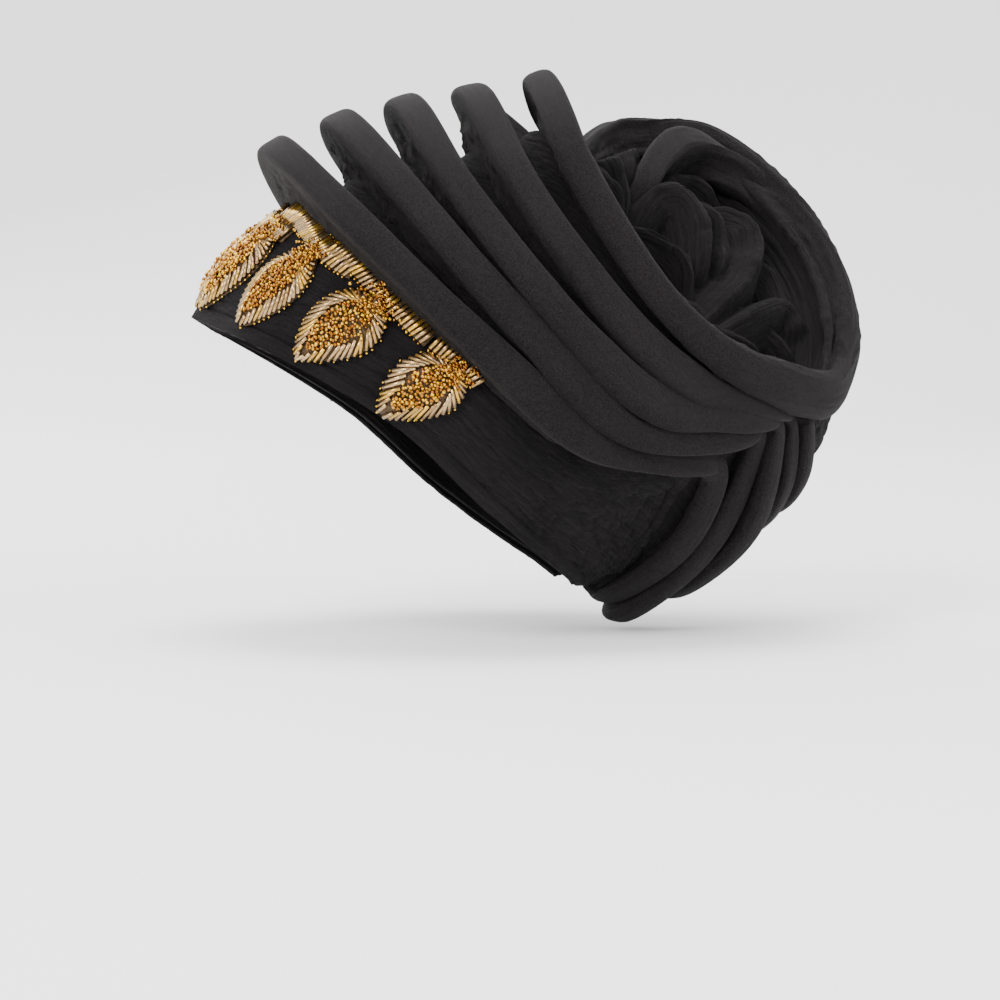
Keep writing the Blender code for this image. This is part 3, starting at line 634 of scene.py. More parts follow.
def padSections(fin, columns, seed, closed=False, creased=None, square=padLook["square"], tilt=None):
    look = padLook
    x, flank, topY = padOutline(square)
    points, along = [], []
    for i in columns:
        half, height = fin["widths"][i] / 2, max(fin["heights"][i], look["least"])
        rim = min(half * look["corner"], height * look["cornerShare"])
        side = (height - rim + look["sink"]) * flank - look["sink"]
        y = np.concatenate([side, (height - rim) + topY * rim, side[::-1]])
        y = y - (0 if tilt is None else tilt[i]) * x * half * np.clip(y / height, 0, 1)
        points.append(fin["base"][i] + fin["across"][i] * (x * half)[:, None] + fin["up"][i] * y[:, None])
        along.append(y / height)
    grid, rise = np.array(points), np.array(along)
    count = grid.shape[1]
    across = np.roll(grid, -1, axis=1) - np.roll(grid, 1, axis=1)
    ahead = np.roll(grid, -1, axis=0) - np.roll(grid, 1, axis=0) if closed else np.gradient(grid, axis=0)
    normals = unit(np.cross(across, ahead))

    path = fin["crests"][columns]
    steps = np.linalg.norm(np.diff(path, axis=0, append=path[:1]), axis=1)
    length = steps.sum() if closed else None
    v = runAcross(grid.swapaxes(0, 1)).T
    v = v - v[:, count // 2][:, None]
    u = np.broadcast_to(np.concatenate([[0], np.cumsum(steps)[:-1]])[:, None], v.shape)
    work = crinkles(u, v + 0.5, look["run"], look["pitch"], seed, wrap=length)
    long, wide = look["lumps"]
    cells = max(3, int(round(length / long))) if closed else None
    lumps = cellNoise(u * cells / length if closed else u / long, v / wide + 40, seed + 5, cells)
    tall = np.clip(fin["heights"][columns] / look["tall"], 0.15, 1)[:, None]
    low = 1 - fade(rise, *look["low"])
    lift = work * look["crinkle"] * (0.05 + 0.95 * low) * tall + lumps * look["wander"] * np.clip(tall, 0.4, 1)
    if creased is not None:
        lines = crinkles(u, v + 0.9, look["creaseRun"], look["creasePitch"], seed + 9, wrap=length)
        inner = 0.25 + 0.75 * fade(np.arange(count)[None] / count, *look["inner"])
        lift = lift + lines * look["crease"] * creased[columns][:, None] * inner
    return grid + normals * lift[..., None], np.stack([u, v], -1), length


def makePad(name, fin, columns, nodes, seed, fill, closed=False, **extra):
    grid, uvs, length = padSections(fin, columns, seed, closed, **extra)
    n, m = grid.shape[:2]
    faces = gridFaces(n, m, closedRows=closed)
    if not closed:
        faces += [list(range(m)), [(n - 1) * m + k for k in reversed(range(m))]]
    obj = meshObject(name, grid.reshape(-1, 3), faces, uvs.reshape(-1, 2), period=length)
    settleOn(obj, "padded", "padded_cloth", *nodes)


ribbonLook = {"end": 151.0, "full": 128.0, "round": 132.0, "tip": 0.10, "wide": 0.0134, "tailWide": 0.0176,
              "widens": (62, 112), "roomShare": 0.97, "overlap": 1.40, "overlaps": (85, 122), "tilt": 0.46,
              "tilts": (95, 135), "sunk": 0.0020, "fill": 0.8, "seed": 60}
hoopLook = {"start": 137.0, "full": 152.0, "wide": 0.0132, "roomShare": 1.02, "tall": 0.0095, "startHeight": 0.35,
            "startWidth": 0.55, "sunkShare": 0.7, "square": 2.4, "fill": 0.7, "seeds": (75, 85, 95, 105, 140)}
rimLook = {"square": 2.7, "fill": 0.8, "seed": 120, "creases": (95, 150, 345, 358)}


def ribbonFin(fin, room):  # it keeps its width, then its lower edge rounds up under the next fold
    look = ribbonLook
    tail = fade(sideTurns, look["round"], look["end"])
    rounded = np.clip((sideTurns - look["round"]) / (look["end"] - look["round"]), 0, 1)
    spread = 1 + (look["overlap"] - 1) * fade(sideTurns, *look["overlaps"])
    wide = look["wide"] + (look["tailWide"] - look["wide"]) * fade(sideTurns, *look["widens"])
    half, upTo = turns <= 180, np.minimum(sideTurns, look["full"])
    held = np.interp(upTo, turns[half], np.minimum(wide, room * look["roomShare"] * spread)[half])
    heights = np.interp(upTo, turns[half], fin["heights"][half])
    widths = held * np.sqrt(1 - rounded**2 * (1 - look["tip"] ** 2))
    made = makeFin(fin["crests"] - fin["up"] * (look["sunk"] * tail)[:, None], fin["up"], heights, widths)
    moved = made["across"] * ((held - widths) / 2)[:, None]
    for part in ("base", "front", "back", "crests"):
        made[part] = made[part] + moved
    return made


def hoopFin(fin, room):
    look = hoopLook
    begun = fade(sideTurns, look["start"], look["full"])
    widths = np.minimum(look["wide"], room * look["roomShare"]) * (look["startWidth"] + (1 - look["startWidth"]) * begun)
    heights = look["tall"] * (look["startHeight"] + (1 - look["startHeight"]) * begun)
    sunk = fin["up"] * (look["tall"] - heights)[:, None] * look["sunkShare"]
    return makeFin(fin["crests"] - sunk, fin["up"], heights, widths)


def makePads():
    end, start = ribbonLook["end"], hoopLook["start"]
    ribbonColumns = np.concatenate([np.where(turns >= 360 - end)[0], np.where(turns <= end)[0]])
    hoopColumns = np.where((turns >= start) & (turns <= 360 - start))[0]
    tilt = ribbonLook["tilt"] * fade(sideTurns, *ribbonLook["tilts"])
    rings = [edge] + [fin["crests"] for fin in fins] + [rimFin["crests"]]
    for number, fin in enumerate(fins, 1):
        if number < len(fins):
            room = roomBeside(rings[number], rings[number - 1], rings[6 if number == 4 else number + 1])
            makePad(f"paddedFold_{number}", ribbonFin(fin, room), ribbonColumns, [f"fold_{number}"],
                    ribbonLook["seed"] + 10 * number, ribbonLook["fill"], tilt=tilt)
        room = roomBeside(rings[number], rings[number - 1], rings[number + 1])
        makePad(f"paddedHoop_{number}", hoopFin(fin, room), hoopColumns, [f"hoop_{number}"],
                hoopLook["seeds"][number - 1], hoopLook["fill"], square=hoopLook["square"])
    creased = 0.10 + 0.90 * between(turns, *rimLook["creases"])
    makePad("rimRoll", rimFin, np.arange(form["columns"]), ["rim_roll"], rimLook["seed"], rimLook["fill"], closed=True,
            creased=creased, square=rimLook["square"])


makePads()
print("padded folds made")


# ---- the bowl and its rosette: pleats of cloth twisted out of one knot, each placed by its crest
# how far it leans to one side, then its crest: right and up as shares of the bowl's radius for someone who looks
# straight into it, mm above the rim's plane, half width in mm; the first nine stand for rosette_fold_1 to 9
rosettePleats = (
    (0.5, ((-0.12, 0.22, -25, 5), (-0.03, 0.31, -14, 6), (0.1, 0.38, -8, 7.2), (0.24, 0.36, -6, 8),
        (0.31, 0.23, -7, 8.2), (0.29, 0.07, -9, 7.8), (0.24, -0.08, -13, 7), (0.22, -0.2, -23, 5.5))),
    (-0.3, ((0.4, 0.5, -27, 4), (0.46, 0.37, -16, 5.2), (0.49, 0.2, -12, 5.8), (0.44, 0.03, -13, 5.6),
        (0.35, -0.13, -17, 5), (0.28, -0.24, -27, 4))),
    (0.4, ((0.58, 0.42, -30, 5), (0.66, 0.31, -17, 6.2), (0.73, 0.14, -11, 7.4), (0.68, -0.04, -10, 8),
        (0.55, -0.19, -11, 8.2), (0.38, -0.32, -12, 8), (0.18, -0.42, -16, 7.2), (0, -0.49, -27, 5.5))),
    (0.35, ((-0.04, -0.58, -29, 4.8), (0.14, -0.56, -17, 6.4), (0.34, -0.5, -12, 7.8), (0.53, -0.46, -11, 8.6),
        (0.66, -0.53, -13, 8.2), (0.66, -0.67, -17, 7.2), (0.58, -0.8, -28, 5.5))),
    (-0.4, ((-0.38, -0.5, -28, 4.6), (-0.22, -0.58, -17, 5.8), (-0.07, -0.66, -13, 6.6), (0.08, -0.76, -14, 6.6),
        (0.24, -0.83, -17, 6), (0.4, -0.86, -27, 4.8))),
    (-0.5, ((-0.12, 0.22, -26, 4.4), (-0.22, 0.36, -12, 6), (-0.32, 0.5, -8, 7.6), (-0.42, 0.64, -9, 7.8),
        (-0.52, 0.76, -20, 6))),
    (0.5, ((-0.6, 0.3, -26, 5), (-0.6, 0.08, -15, 7), (-0.52, -0.18, -13, 8.6), (-0.36, -0.4, -14, 8.4),
        (-0.16, -0.5, -18, 7), (0.02, -0.52, -29, 5))),
    (0.6, ((-0.12, 0.2, -26, 4.4), (-0.26, 0.06, -17, 6.4), (-0.26, -0.14, -17, 7.8), (-0.12, -0.3, -19, 7.6),
        (0.06, -0.38, -24, 6), (0.16, -0.4, -31, 4.5))),
    (-0.5, ((-0.14, 0.24, -25, 4.4), (-0.06, 0.1, -16, 6), (0.04, -0.06, -15, 6.8), (0.07, -0.2, -20, 6),
        (0.04, -0.32, -29, 4.5))),
    (0.3, ((-0.14, 0.22, -27, 4.6), (-0.13, 0.4, -12, 6.2), (-0.12, 0.58, -8, 7.4), (-0.09, 0.74, -11, 7.4),
        (-0.06, 0.9, -24, 6))),
    (-0.3, ((-0.14, 0.2, -27, 4.2), (-0.32, 0.28, -13, 5.8), (-0.48, 0.36, -10, 7), (-0.62, 0.46, -12, 7),
        (-0.76, 0.54, -22, 5.4))),
    (-0.4, ((-0.14, 0.18, -28, 4), (-0.34, 0.14, -14, 5.6), (-0.52, 0.16, -12, 6.6), (-0.7, 0.22, -14, 6.4),
        (-0.84, 0.26, -22, 5))),
    (0.2, ((0, 0.36, -28, 4.6), (0.06, 0.54, -16, 6.2), (0.14, 0.7, -14, 7.4), (0.24, 0.84, -18, 7),
        (0.32, 0.96, -30, 5.4))),
    (-0.2, ((0.22, 0.44, -29, 4.6), (0.38, 0.54, -19, 6.2), (0.54, 0.55, -17, 7), (0.68, 0.48, -19, 6.6),
        (0.8, 0.38, -28, 5.2))),
    (0.3, ((0.62, 0.16, -30, 4.6), (0.72, -0.06, -20, 6.4), (0.76, -0.26, -18, 7.2), (0.7, -0.46, -20, 6.8),
        (0.6, -0.58, -29, 5.2))),
    (-0.3, ((0.14, -0.3, -30, 4.4), (0.3, -0.44, -20, 6.2), (0.44, -0.62, -18, 7), (0.5, -0.8, -19, 6.6),
        (0.48, -0.94, -26, 5))),
)
foldCount = 9
# the rim's roll turns in over the bowl and ends at the knot: its crest as above, then its width and height in mm
rollEnd = ((1.10, 0.26, -10.0, 9.0, 12.0), (1.06, 0.44, -10.5, 11.0, 13.5), (0.98, 0.60, -10.5, 13.0, 16.0),
           (0.86, 0.72, -9.5, 14.0, 19.0), (0.70, 0.77, -8.0, 14.4, 22.0), (0.52, 0.75, -6.5, 14.0, 24.0),
           (0.33, 0.66, -6.5, 13.0, 25.0), (0.16, 0.54, -8.0, 11.6, 24.0), (0.04, 0.41, -12.0, 10.0, 21.0),
           (-0.02, 0.31, -22.0, 7.0, 14.0))


def throughPlaces(values, count):  # a smooth run through places, evenly stepped
    table = np.asarray(values, float)
    marks = np.linspace(0, 1, len(table))
    return np.stack([settle(marks, column, np.linspace(0, 1, count)) for column in table.T], axis=1)


def softenRun(values, sigma):  # rounds a run's corners, its ends kept
    reach, kernel = bell(sigma)
    padded = np.concatenate([2 * values[:1] - values[reach:0:-1], values, 2 * values[-1:] - values[-2:-reach - 2:-1]])
    return np.stack([np.convolve(padded[:, c], kernel, "valid") for c in range(values.shape[1])], axis=1)


bowlLook = {"rows": 112, "crinkle": 0.0024, "pitch": 0.0031, "run": 0.060, "round": 0.42, "thickness": 0.0016}
pleatLook = {"gentle": 1.15, "steep": 2.9, "round": 0.30, "wall": 1.7, "crinkle": 1.55, "pitch": 2.1, "run": 15.0,
             "lump": 2.2, "cross": 1.5, "usual": 7.0, "crown": 0.10, "seed": 200}


def polyline(points):  # metres along it
    return np.concatenate([[0], np.cumsum(np.linalg.norm(np.diff(points, axis=0), axis=1))])


def alongCrest(places, flat):  # height of one pleat over points seen straight in, and where they lie on it
    run = softenRun(throughPlaces(places, 110), 3.0)
    line, high, half = run[:, :2] * bowlRadius * 1000, run[:, 2], run[:, 3]
    ahead = unit(np.gradient(line, axis=0))
    length = polyline(line)
    nearest = np.empty(len(flat), int)
    for start in range(0, len(flat), 8000):
        block = flat[start:start + 8000]
        nearest[start:start + 8000] = np.argmin(((block[:, None] - line[None]) ** 2).sum(axis=2), axis=1)
    apart = flat - line[nearest]
    forward = np.sum(apart * ahead[nearest], axis=1)
    side = ahead[nearest, 0] * apart[:, 1] - ahead[nearest, 1] * apart[:, 0]
    atEnd = (nearest == 0) & (forward < 0) | (nearest == len(line) - 1) & (forward > 0)
    beyond = np.where(atEnd, np.abs(forward), 0)
    u = length[nearest] + np.where(atEnd, 0, forward)
    return u, side, beyond, np.interp(u, length, high), np.interp(u, length, half)


def overPleats(flat, best, work, uvs):  # where a pleat stands higher than the bowl, its cloth is what shows
    look, lying = pleatLook, np.zeros(len(best))
    for number, (lean, places) in enumerate(rosettePleats, 1):
        seed = look["seed"] + number
        u, side, beyond, crest, half = alongCrest(places, flat)
        slope = np.where(side * np.sign(lean) > 0, look["steep"], look["gentle"])
        rounding = look["round"] * half
        nearCrest = np.exp(-(side / half) ** 2)
        tent = slope * (np.sqrt(side**2 + rounding**2) - rounding) + look["steep"] * beyond
        height = crest - tent * (look["usual"] / half) ** 0.6 + look["crown"] * half * nearCrest
        height += cellNoise(u / 13 + seed, side / 8 + 30, seed + 3) * look["lump"]
        fan = side * look["usual"] / half
        lines = crinkles(u + seed * 13, fan + 300, look["run"], look["pitch"], seed) * look["crinkle"]
        lines += crinkles(side + 200, u + seed * 10, 9.0, 7.0, seed + 7) * look["cross"] * nearCrest
        wins = height > best
        best = np.where(wins, height, best)
        work = np.where(wins, lines, work)
        lying = np.where(wins, 1.0, lying)
        uvs = np.where(wins[:, None], np.stack([u, side], axis=1) / 1000, uvs)
    return best, work, lying, uvs


def makeBowl():  # the rim's cloth goes down with creases round it, then lies over the crests of the pleats; in mm
    look, rows = bowlLook, []
    for step in np.linspace(0, 1, look["rows"])[:-1] ** 0.92:
        inward, down = 1 - math.cos(step * math.pi / 2), math.sin(step * math.pi / 2)
        rows.append(rimFin["back"] * (1 - inward) + bowlCentre * inward - bowlFacing * rimPlaces["depth"] * down)
    grid = np.array(rows)
    v = runAcross(grid)
    share = np.linspace(0, 1, len(rows))[:, None]
    along = np.broadcast_to(turns[None] / 360, grid.shape[:2]) * look["round"]
    creases = crinkles(along, v, look["run"], look["pitch"], 41, wrap=look["round"]) * fade(share, 0.0, 0.05)
    apart = (grid - bowlCentre) * 1000
    right, up, high = apart @ bowlRight, apart @ bowlUp, apart @ bowlFacing
    flat, uvs = np.stack([right, up], -1).reshape(-1, 2), np.stack([along, v], -1).reshape(-1, 2)
    best, work, lying, uvs = overPleats(flat, high.ravel(), (creases * look["crinkle"] * 1000).ravel(), uvs)
    cap = high[:1] + pleatLook["wall"] * np.hypot(right - right[:1], up - up[:1])
    raised = np.minimum((best + work * lying).reshape(high.shape), np.maximum(cap, high))
    rise = np.maximum(raised - high, 0)
    for _ in range(2):
        rise = 0.5 * rise + 0.25 * (np.roll(rise, 1, axis=1) + np.roll(rise, -1, axis=1))
        rise[1:-1] = 0.5 * rise[1:-1] + 0.25 * (rise[:-2] + rise[2:])
    loose = work.reshape(high.shape) * np.exp(-rise / 1.5)
    points = grid + (gridNormals(grid) * loose[..., None] + bowlFacing * rise[..., None]) / 1000
    n, m = high.shape
    faces = gridFaces(n, m) + [((n - 1) * m + k, (n - 1) * m + (k + 1) % m, n * m) for k in range(m)]
    points = np.concatenate([points.reshape(-1, 3), points[-1].mean(axis=0)[None]])
    obj = meshObject("bowlCloth", points, faces, np.concatenate([uvs, uvs[-1:]]), period=look["round"])
    nodes = [f"rosette_fold_{number}" for number in range(1, foldCount + 1)]
    makeSheet(obj, "gathered", look["thickness"], "padded_cloth", *nodes)


def makeRollEnd():
    run = softenRun(throughPlaces(rollEnd, 120), 4)
    crests = bowlCentre + (bowlRight * run[:, :1] + bowlUp * run[:, 1:2]) * bowlRadius + bowlFacing * run[:, 2:3] / 1000
    start = rimFin["up"][int(232 / 360 * form["columns"])]
    turned = fade(np.linspace(0, 1, len(crests)), 0.10, 0.60)[:, None]
    up = unit(start * (1 - turned) + bowlFacing * turned)
    across = unit(np.cross(up, unit(np.gradient(crests, axis=0))))
    heights, widths = run[:, 4] / 1000, run[:, 3] / 1000
    fin = {"crests": crests, "up": up, "across": across, "base": crests - up * heights[:, None], "heights": heights,
           "widths": widths}
    makePad("rollEnd", fin, np.arange(len(crests)), [], 230, 0.7, creased=np.linspace(0.9, 0.45, len(crests)))


makeBowl()
makeRollEnd()
print("bowl and rosette made")


# ---- beadwork: one node tree lays bugle beads and seed beads on marked points
beadSizes = {"bugleRadius": 0.00086, "bugleLength": 0.0062, "seedRadius": 0.00086, "seedFlat": 0.78, "pitch": 0.0021624,
             "sides": 8, "seed": 5}


def beadTree():
    tree = bpy.data.node_groups.new("beadwork", "GeometryNodeTree")
    for label, way, kind, value in (
            ("Geometry", "INPUT", "Geometry", None), ("Bugle Radius", "INPUT", "Float", beadSizes["bugleRadius"]),
            ("Bugle Length", "INPUT", "Float", beadSizes["bugleLength"]),
            ("Seed Radius", "INPUT", "Float", beadSizes["seedRadius"]),
            ("Random Seed", "INPUT", "Int", beadSizes["seed"]), ("Geometry", "OUTPUT", "Geometry", None)):
        socket = tree.interface.new_socket(label, in_out=way, socket_type="NodeSocket" + kind)
        if value is not None:
            socket.default_value = value

    def geometry(kind, inputs, **settings):
        return outOf(tree, "GeometryNode" + kind, inputs, **settings)

    source = node(tree, "NodeGroupInput").outputs
    points = geometry("MeshToPoints", {"Mesh": source["Geometry"]})
    direction = geometry("InputNamedAttribute", {"Name": "beadRun"}, data_type="FLOAT_VECTOR")
    size = geometry("InputNamedAttribute", {"Name": "beadSize"}, data_type="FLOAT")
    isSeed = geometry("InputNamedAttribute", {"Name": "isSeed"}, data_type="BOOLEAN")
    isBugle = outOf(tree, "FunctionNodeBooleanMath", {0: isSeed}, operation="NOT")
    turned = outOf(tree, "FunctionNodeAlignRotationToVector", {"Vector": direction}, axis="Z")
    bugle = geometry("MeshCylinder", {"Vertices": beadSizes["sides"], "Radius": source["Bugle Radius"],
                                      "Depth": source["Bugle Length"]})
    lengthOnly = outOf(tree, "ShaderNodeCombineXYZ", {"X": 1.0, "Y": 1.0, "Z": size})
    bugles = geometry("InstanceOnPoints", {"Points": points, "Selection": isBugle, "Instance": bugle,
                                           "Rotation": turned, "Scale": lengthOnly})
    ball = geometry("MeshIcoSphere", {"Radius": source["Seed Radius"], "Subdivisions": 2})
    flat = geometry("Transform", {"Geometry": ball, "Scale": (1.0, 1.0, beadSizes["seedFlat"])})
    spun = outOf(tree, "FunctionNodeRandomValue", {"Min": (0.0,) * 3, "Max": (6.28,) * 3, "Seed": source["Random Seed"]},
                 data_type="FLOAT_VECTOR")
    seeds = geometry("InstanceOnPoints", {"Points": points, "Selection": isSeed, "Instance": flat, "Rotation": spun,
                                          "Scale": size})
    joined = node(tree, "GeometryNodeJoinGeometry")
    for beads in (bugles, seeds):
        tree.links.new(beads, joined.inputs[0])
    smooth = geometry("SetShadeSmooth", {"Geometry": geometry("RealizeInstances", {"Geometry": joined.outputs[0]})})
    finished = geometry("SetMaterial", {"Geometry": smooth, "Material": materials["beads"]})
    node(tree, "NodeGroupOutput", {"Geometry": finished})
    return tree


beadwork = beadTree()


def layBeads(name, beads, inputs):  # beads: place, run, size, tone and whether it is a seed
    places, *values = (np.array(c) for c in zip(*beads))
    mesh = bpy.data.meshes.new(name)
    mesh.from_pydata(places.tolist(), [], [])
    for (label, kind, key), column in zip((("beadRun", "FLOAT_VECTOR", "vector"), ("beadSize", "FLOAT", "value"),
                                           ("beadTone", "FLOAT", "value"), ("isSeed", "BOOLEAN", "value")), values):
        mesh.attributes.new(label, kind, "POINT").data.foreach_set(key, column.ravel())
    obj = linked(name, mesh)
    modifier = obj.modifiers.new("beadwork", "NODES")
    modifier.node_group = beadwork
    for item in beadwork.interface.items_tree:
        if item.in_out == "INPUT" and item.name in inputs:
            modifier[item.identifier] = inputs[item.name]
    return applyModifiers(obj)


def onBand(turn, share):  # a place on the band, by turn and share of its height, and which way is out there
    held = np.clip(share, 0, 1)
    row = held * (len(bandRows) - 1)
    low = np.minimum(int(row), len(bandRows) - 2)
    point, normal = (
        np.array([np.interp(turn, turns, column, period=360)
                  for column in (grid[low] * (low + 1 - row) + grid[low + 1] * (row - low)).T])
        for grid in (bandRows, bandNormals))
    if abs(share - held) > 1e-6:
        up = unit(onBand(turn, 1.0)[0] - onBand(turn, 0.9)[0])
        point = point + up * (share - held) * bandHeight
    return point, unit(normal)


def bandReach(turn, share):  # metres to a degree of turn, and metres to the whole height
    high = min(share + 0.1, 1)
    ahead, before = onBand(turn + 2, share)[0], onBand(turn - 2, share)[0]
    upper, lower = onBand(turn, high)[0], onBand(turn, high - 0.2)[0]
    return np.linalg.norm(ahead - before) / 4, np.linalg.norm(upper - lower) / 0.2


class Patch:  # a flat pattern laid on the band round one place, in metres along (toward the back) and up
    def __init__(self, turn, share, tilt):
        self.turn, self.share = turn, share
        self.perTurn, self.perShare = bandReach(turn, share)
        slant = math.radians(tilt)
        self.axis = np.array([-math.cos(slant), -math.sin(slant)])  # toward the leaf's tip
        self.side = np.array([-self.axis[1], self.axis[0]])

    def at(self, x, y, lift):
        flat = self.axis * x + self.side * y
        point, normal = onBand(self.turn + flat[0] / self.perTurn, self.share + flat[1] / self.perShare)
        return point + normal * lift, normal


leafLook = {
    "dome": 0.0026, "edge": 0.0013, "backing": 0.0011, "bugle": 0.0086, "slant": 0.80, "spacing": 0.00262,
    "edgeBeads": 0.65, "jitter": 0.055, "tries": 3400, "layers": ((0, 1.38, 0.0003), (1, 1.95, 0.0013)), "stemBeads": 95,
    "rows": 26, "spans": np.linspace(-1, 1, 9), "seed": 300,
}
leafRows = {  # turn, share of the band's height, tilt of the tip, length, width
    1: (12.0, 0.46, 82, 0.0460, 0.0330), 2: (37.0, 0.47, 80, 0.0430, 0.0315), 3: (62.5, 0.50, 76, 0.0415, 0.0305),
    4: (86.0, 0.50, 76, 0.0385, 0.0290),
}


def leafOutline(s):  # half width's share at a share of the length, stem end to tip
    return np.clip(np.sin(math.pi * np.clip(s, 0, 1) ** 0.86) ** 0.72 * (1 - 0.10 * s), 0, 1)


def makeLeaf(number, turn, share, tilt, length, width):
    look, patch, half, beads = leafLook, Patch(turn, share, tilt), width / 2, []
    rng = np.random.default_rng(look["seed"] + number)

    def dome(x, y):
        s = x / length + 0.5
        r = min(1.0, abs(y) / max(leafOutline(s) * half, 1e-4))
        return look["edge"] + look["dome"] * (1 - r * r) * min(1.0, 4 * s * (1 - s) + 0.15)

    def add(x, y, size, tone, lift):
        point, normal = patch.at(x, y, dome(x, y) + lift)
        beads.append((point, normal, size, tone, True))

    def lay(spot, run, reach, tone, lift):
        ends = [patch.at(*p, dome(*p) + lift)[0] for p in (spot, spot - run * reach)]
        long = np.linalg.norm(ends[0] - ends[1])
        beads.append(((ends[0] + ends[1]) / 2, (ends[0] - ends[1]) / long, long / beadSizes["bugleLength"], tone, False))

    # bugles in a feather along both sides, each slanting to the tip
    s = np.linspace(0, 1, 400)
    for side in (-1, 1):
        path = np.stack([(s - 0.5) * length, side * leafOutline(s) * half], axis=1)
        arc = polyline(path)

        def along(spot):
            return np.array([np.interp(spot, arc, column) for column in path.T])

        for spot in np.arange(look["spacing"] * 0.5, arc[-1], look["spacing"]):
            at, ahead = along(spot), unit(along(spot + 5e-4) - along(spot - 5e-4))
            outward = np.array([-ahead[1], ahead[0]]) * side
            outward *= -1 if outward[1] * side < 0 else 1
            s0 = at[0] / length + 0.5
            run = unit(outward + ahead * look["slant"] * (0.35 + 0.65 * min(1, 4 * s0)))
            reach = look["bugle"] * rng.uniform(0.90, 1.04) * min(1.0, 0.45 + 1.1 * float(leafOutline(s0)))
            jitter = rng.normal(0, look["jitter"])
            lay(at, run + jitter * np.array([run[1], -run[0]]), reach, rng.uniform(0.0, 0.44), 0.0003)
            if rng.random() < look["edgeBeads"]:
                add(*(at + run * 0.0009), rng.uniform(0.55, 0.74), rng.uniform(0.45, 0.8), -0.0005)

    # a field of seed beads in the middle, heaped two deep, and a few more where the stem joins
    for layer, spacing, height in look["layers"]:
        placed = []
        for _ in range(look["tries"]):
            x, y = rng.uniform(-0.46, 0.40) * length, rng.uniform(-0.6, 0.6) * half
            w = leafOutline(x / length + 0.5) * half - look["bugle"] * (0.80 + 0.10 * layer)
            if w < 0.0003 or abs(y) > w:
                continue
            if all((x - a) ** 2 + (y - b) ** 2 > (spacing * beadSizes["seedRadius"]) ** 2 for a, b in placed):
                placed.append((x, y))
                add(x, y, rng.uniform(0.74, 1.16), rng.uniform(0.52, 1.10), height + rng.uniform(-0.0003, 0.0005))
    for _ in range(look["stemBeads"]):
        x, y = -0.5 * length + rng.uniform(-0.0038, 0.0085), rng.normal(0, 0.0042)
        add(x, y, rng.uniform(0.80, 1.10), rng.uniform(0.62, 1.1), rng.uniform(0.0010, 0.0026))

    backing = []
    for t in np.linspace(0.004, 0.996, look["rows"]):
        x, w = (t - 0.5) * length, max(leafOutline(t) * half * 0.97, 0.0004)
        backing.append([patch.at(x, w * q, max(dome(x, w * q) - 0.0012, 0.0004))[0] for q in look["spans"]])
    return beads, np.array(backing)


mirror = np.array([-1.0, 1.0, 1.0])


def beadPiece(name, cad, beads, backing, seed):
    work = layBeads(name, beads, {"Random Seed": seed})
    n, m = backing.shape[:2]
    base = meshObject(name + "_backing", backing.reshape(-1, 3), gridFaces(n, m, closedColumns=False))
    bm = bmesh.new()
    bm.from_mesh(base.data)
    bmesh.ops.recalc_face_normals(bm, faces=bm.faces)
    if sum(f.normal.dot(f.calc_center_median() - Vector((0, 0.03, 0.0))) for f in bm.faces) < 0:
        bmesh.ops.reverse_faces(bm, faces=bm.faces)
    bm.to_mesh(base.data)
    bm.free()
    thicken(base, leafLook["backing"])
    settleOn(base, "backing", "bead_work")
    settleOn(work, "beads", "bead_work", cad)


def bothSides(kind, number, beads, backing, seed):
    beadPiece(f"{kind}Beads_left_{number}", f"{kind}_left_{number}", beads, backing, seed + number)
    far = [(place * mirror, run * mirror, *rest) for place, run, *rest in beads]
    beadPiece(f"{kind}Beads_right_{number}", f"{kind}_right_{number}", far, backing * mirror, seed + 10 + number)


for number, row in leafRows.items():
    bothSides("leaf", number, *makeLeaf(number, *row), 10)
print("leaves made")

# stems: ribbons of bugles laid side by side, which loop from leaf to leaf along the first fold
stemLook = {"length": 0.0100, "lift": 0.0021, "base": 0.0009, "lean": (0.16, 0.035), "endBeads": 0.85, "seed": 400}
stemRuns = {
    1: ((1.5, 0.80), (7.0, 0.86), (14.0, 0.83), (22.0, 0.84)),
    2: ((10.0, 0.955), (18.0, 0.985), (27.0, 0.965), (36.0, 0.935), (45.0, 0.925), (54.0, 0.96)),
    3: ((43.0, 1.00), (50.0, 1.02), (57.0, 1.01), (64.0, 0.995), (71.0, 0.99), (79.0, 0.98)),
    4: ((80.0, 1.00), (85.0, 1.02), (90.0, 1.02), (94.0, 1.00)),
}


def makeStem(number, run):
    look = stemLook
    rng = np.random.default_rng(look["seed"] + number)
    line, normals = (np.array(c) for c in zip(*(onBand(*p) for p in softenRun(throughPlaces(run, 240), 8))))
    steps, ahead = polyline(line), unit(np.gradient(line, axis=0))
    sideways = unit(np.cross(normals, ahead))
    beads = []
    for spot in np.arange(0.0006, steps[-1], beadSizes["pitch"]):
        i = int(np.argmin(np.abs(steps - spot)))
        slanted = unit(sideways[i] + ahead[i] * rng.normal(*look["lean"]))
        centre = line[i] + normals[i] * (look["lift"] + rng.uniform(0, 0.0004))
        size = look["length"] / beadSizes["bugleLength"] * rng.uniform(0.95, 1.04)
        beads.append((centre, slanted, size, rng.uniform(0.05, 0.5), False))
        for end in (-1, 1):
            if rng.random() < look["endBeads"]:
                at = centre + slanted * end * look["length"] * 0.56 - normals[i] * 0.0004
                beads.append((at, sideways[i], rng.uniform(0.6, 0.8), rng.uniform(0.5, 0.9), True))
    backing = []
    for i in np.linspace(0, len(line) - 1, 20).astype(int):
        low, across = line[i] + normals[i] * look["base"], sideways[i] * look["length"] * 0.43
        backing.append([low + across * w for w in (-1, -0.5, 0, 0.5, 1)])
    return beads, np.array(backing)


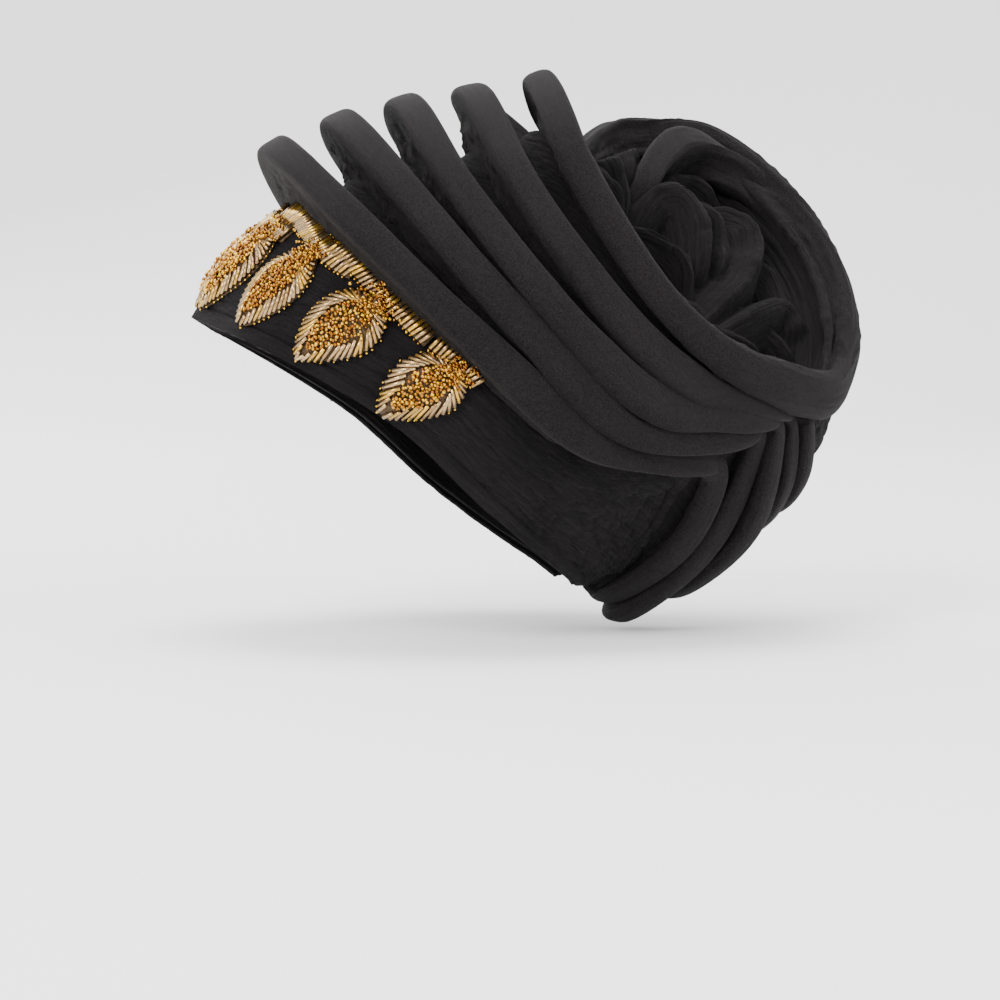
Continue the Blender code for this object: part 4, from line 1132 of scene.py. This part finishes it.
for number, run in stemRuns.items():
    bothSides("stem", number, *makeStem(number, run), 30)
print("stems made")


# ---- floor, paper and lights
stageLook = {
    "azimuth": 80, "below": 0.0004, "front": -6.0, "bend": 1.6, "radius": 1.2, "steps": 14, "top": 4.5, "halfWidth": 7,
    "paper": (0.93, 0.93, 0.93, 1), "rough": 0.9, "world": 1.5, "aim": (0, 0.06, 0.05),
    "lights": {  # place, size, power, colour
        "keyLight": ((1.5, -1.1, 1.5), 1.1, 62, (1.0, 0.98, 0.96)),
        "fillLight": ((1.6, 1.5, 0.7), 1.6, 26, (0.95, 0.97, 1.0)),
        "topLight": ((-0.2, 0.1, 2.0), 1.2, 42, (1, 1, 1)), "farLight": ((-1.7, -0.4, 1.0), 1.4, 26, (1, 1, 1)),
    },
}


def makeFloor():  # a sheet of paper that lies flat in front and bends up behind, as the photo's camera sees it
    look, floorZ = stageLook, cadBox[0].z - stageLook["below"]
    bends = np.linspace(0, math.pi / 2, look["steps"])
    rows = [(look["bend"] + look["radius"] * math.sin(a), floorZ + look["radius"] * (1 - math.cos(a))) for a in bends]
    profile = [(look["front"], floorZ), (0.0, floorZ)] + rows + [(look["bend"] + look["radius"], look["top"])]
    turn = math.radians(look["azimuth"])
    away, side = np.array([-math.sin(turn), math.cos(turn), 0]), np.array([math.cos(turn), math.sin(turn), 0])
    points = np.array([[away * distance + side * w + (0, 0, z) for w in (-look["halfWidth"], look["halfWidth"])]
                       for distance, z in profile])
    floor = meshObject("studioFloor", points.reshape(-1, 3), gridFaces(len(profile), 2, closedColumns=False))
    material, tree, shader = nodeMaterial("studioPaper")
    setInputs(shader, {"Base Color": look["paper"], "Roughness": look["rough"]})
    floor.data.materials.append(material)


def makeLights():
    for name, (at, size, power, colour) in stageLook["lights"].items():
        light = linked(name, bpy.data.lights.new(name, "AREA"))
        light.data.shape, light.data.size, light.data.energy, light.data.color = "DISK", size, power, colour
        light.location = at
        light.rotation_mode = "QUATERNION"
        light.rotation_quaternion = (Vector(stageLook["aim"]) - Vector(at)).to_track_quat("-Z", "Y")
    world = bpy.data.worlds.new("studioWorld")
    bpy.context.scene.world = world
    world.use_nodes = True
    setInputs(world.node_tree.nodes["Background"], {0: (1, 1, 1, 1), 1: stageLook["world"]})


makeFloor()
makeLights()


# ---- the camera, where the photograph was taken from
cameraLook = {"azimuth": 80.0, "elevation": 4.0, "distance": 1.7, "lens": 144.0, "sensor": 36.0, "origin": (397, 467),
              "middle": 500, "perPixel": 0.425e-3}


def makeCamera():
    look = cameraLook
    a, e = math.radians(look["azimuth"]), math.radians(look["elevation"])
    back = Vector((math.sin(a) * math.cos(e), -math.cos(a) * math.cos(e), math.sin(e)))
    right = Vector((math.cos(a), math.sin(a), 0))
    up = back.cross(right)
    x, y = ((c - look["middle"]) * look["perPixel"] for c in look["origin"])
    camera = linked("photoCamera", bpy.data.cameras.new("photoCamera"))
    camera.data.lens, camera.data.sensor_width = look["lens"], look["sensor"]
    spot = back * look["distance"] - right * x + up * y
    camera.matrix_world = Matrix.Translation(spot) @ Matrix((right, up, back)).transposed().to_4x4()
    bpy.context.scene.camera = camera


makeCamera()

counts = {obj.name: sum(len(p.vertices) - 2 for p in obj.data.polygons)
          for obj in bpy.context.scene.objects if obj.type == "MESH" and not obj.hide_render}
print("triangles", sum(counts.values()), sorted(((n, name) for name, n in counts.items()), reverse=True)[:9])
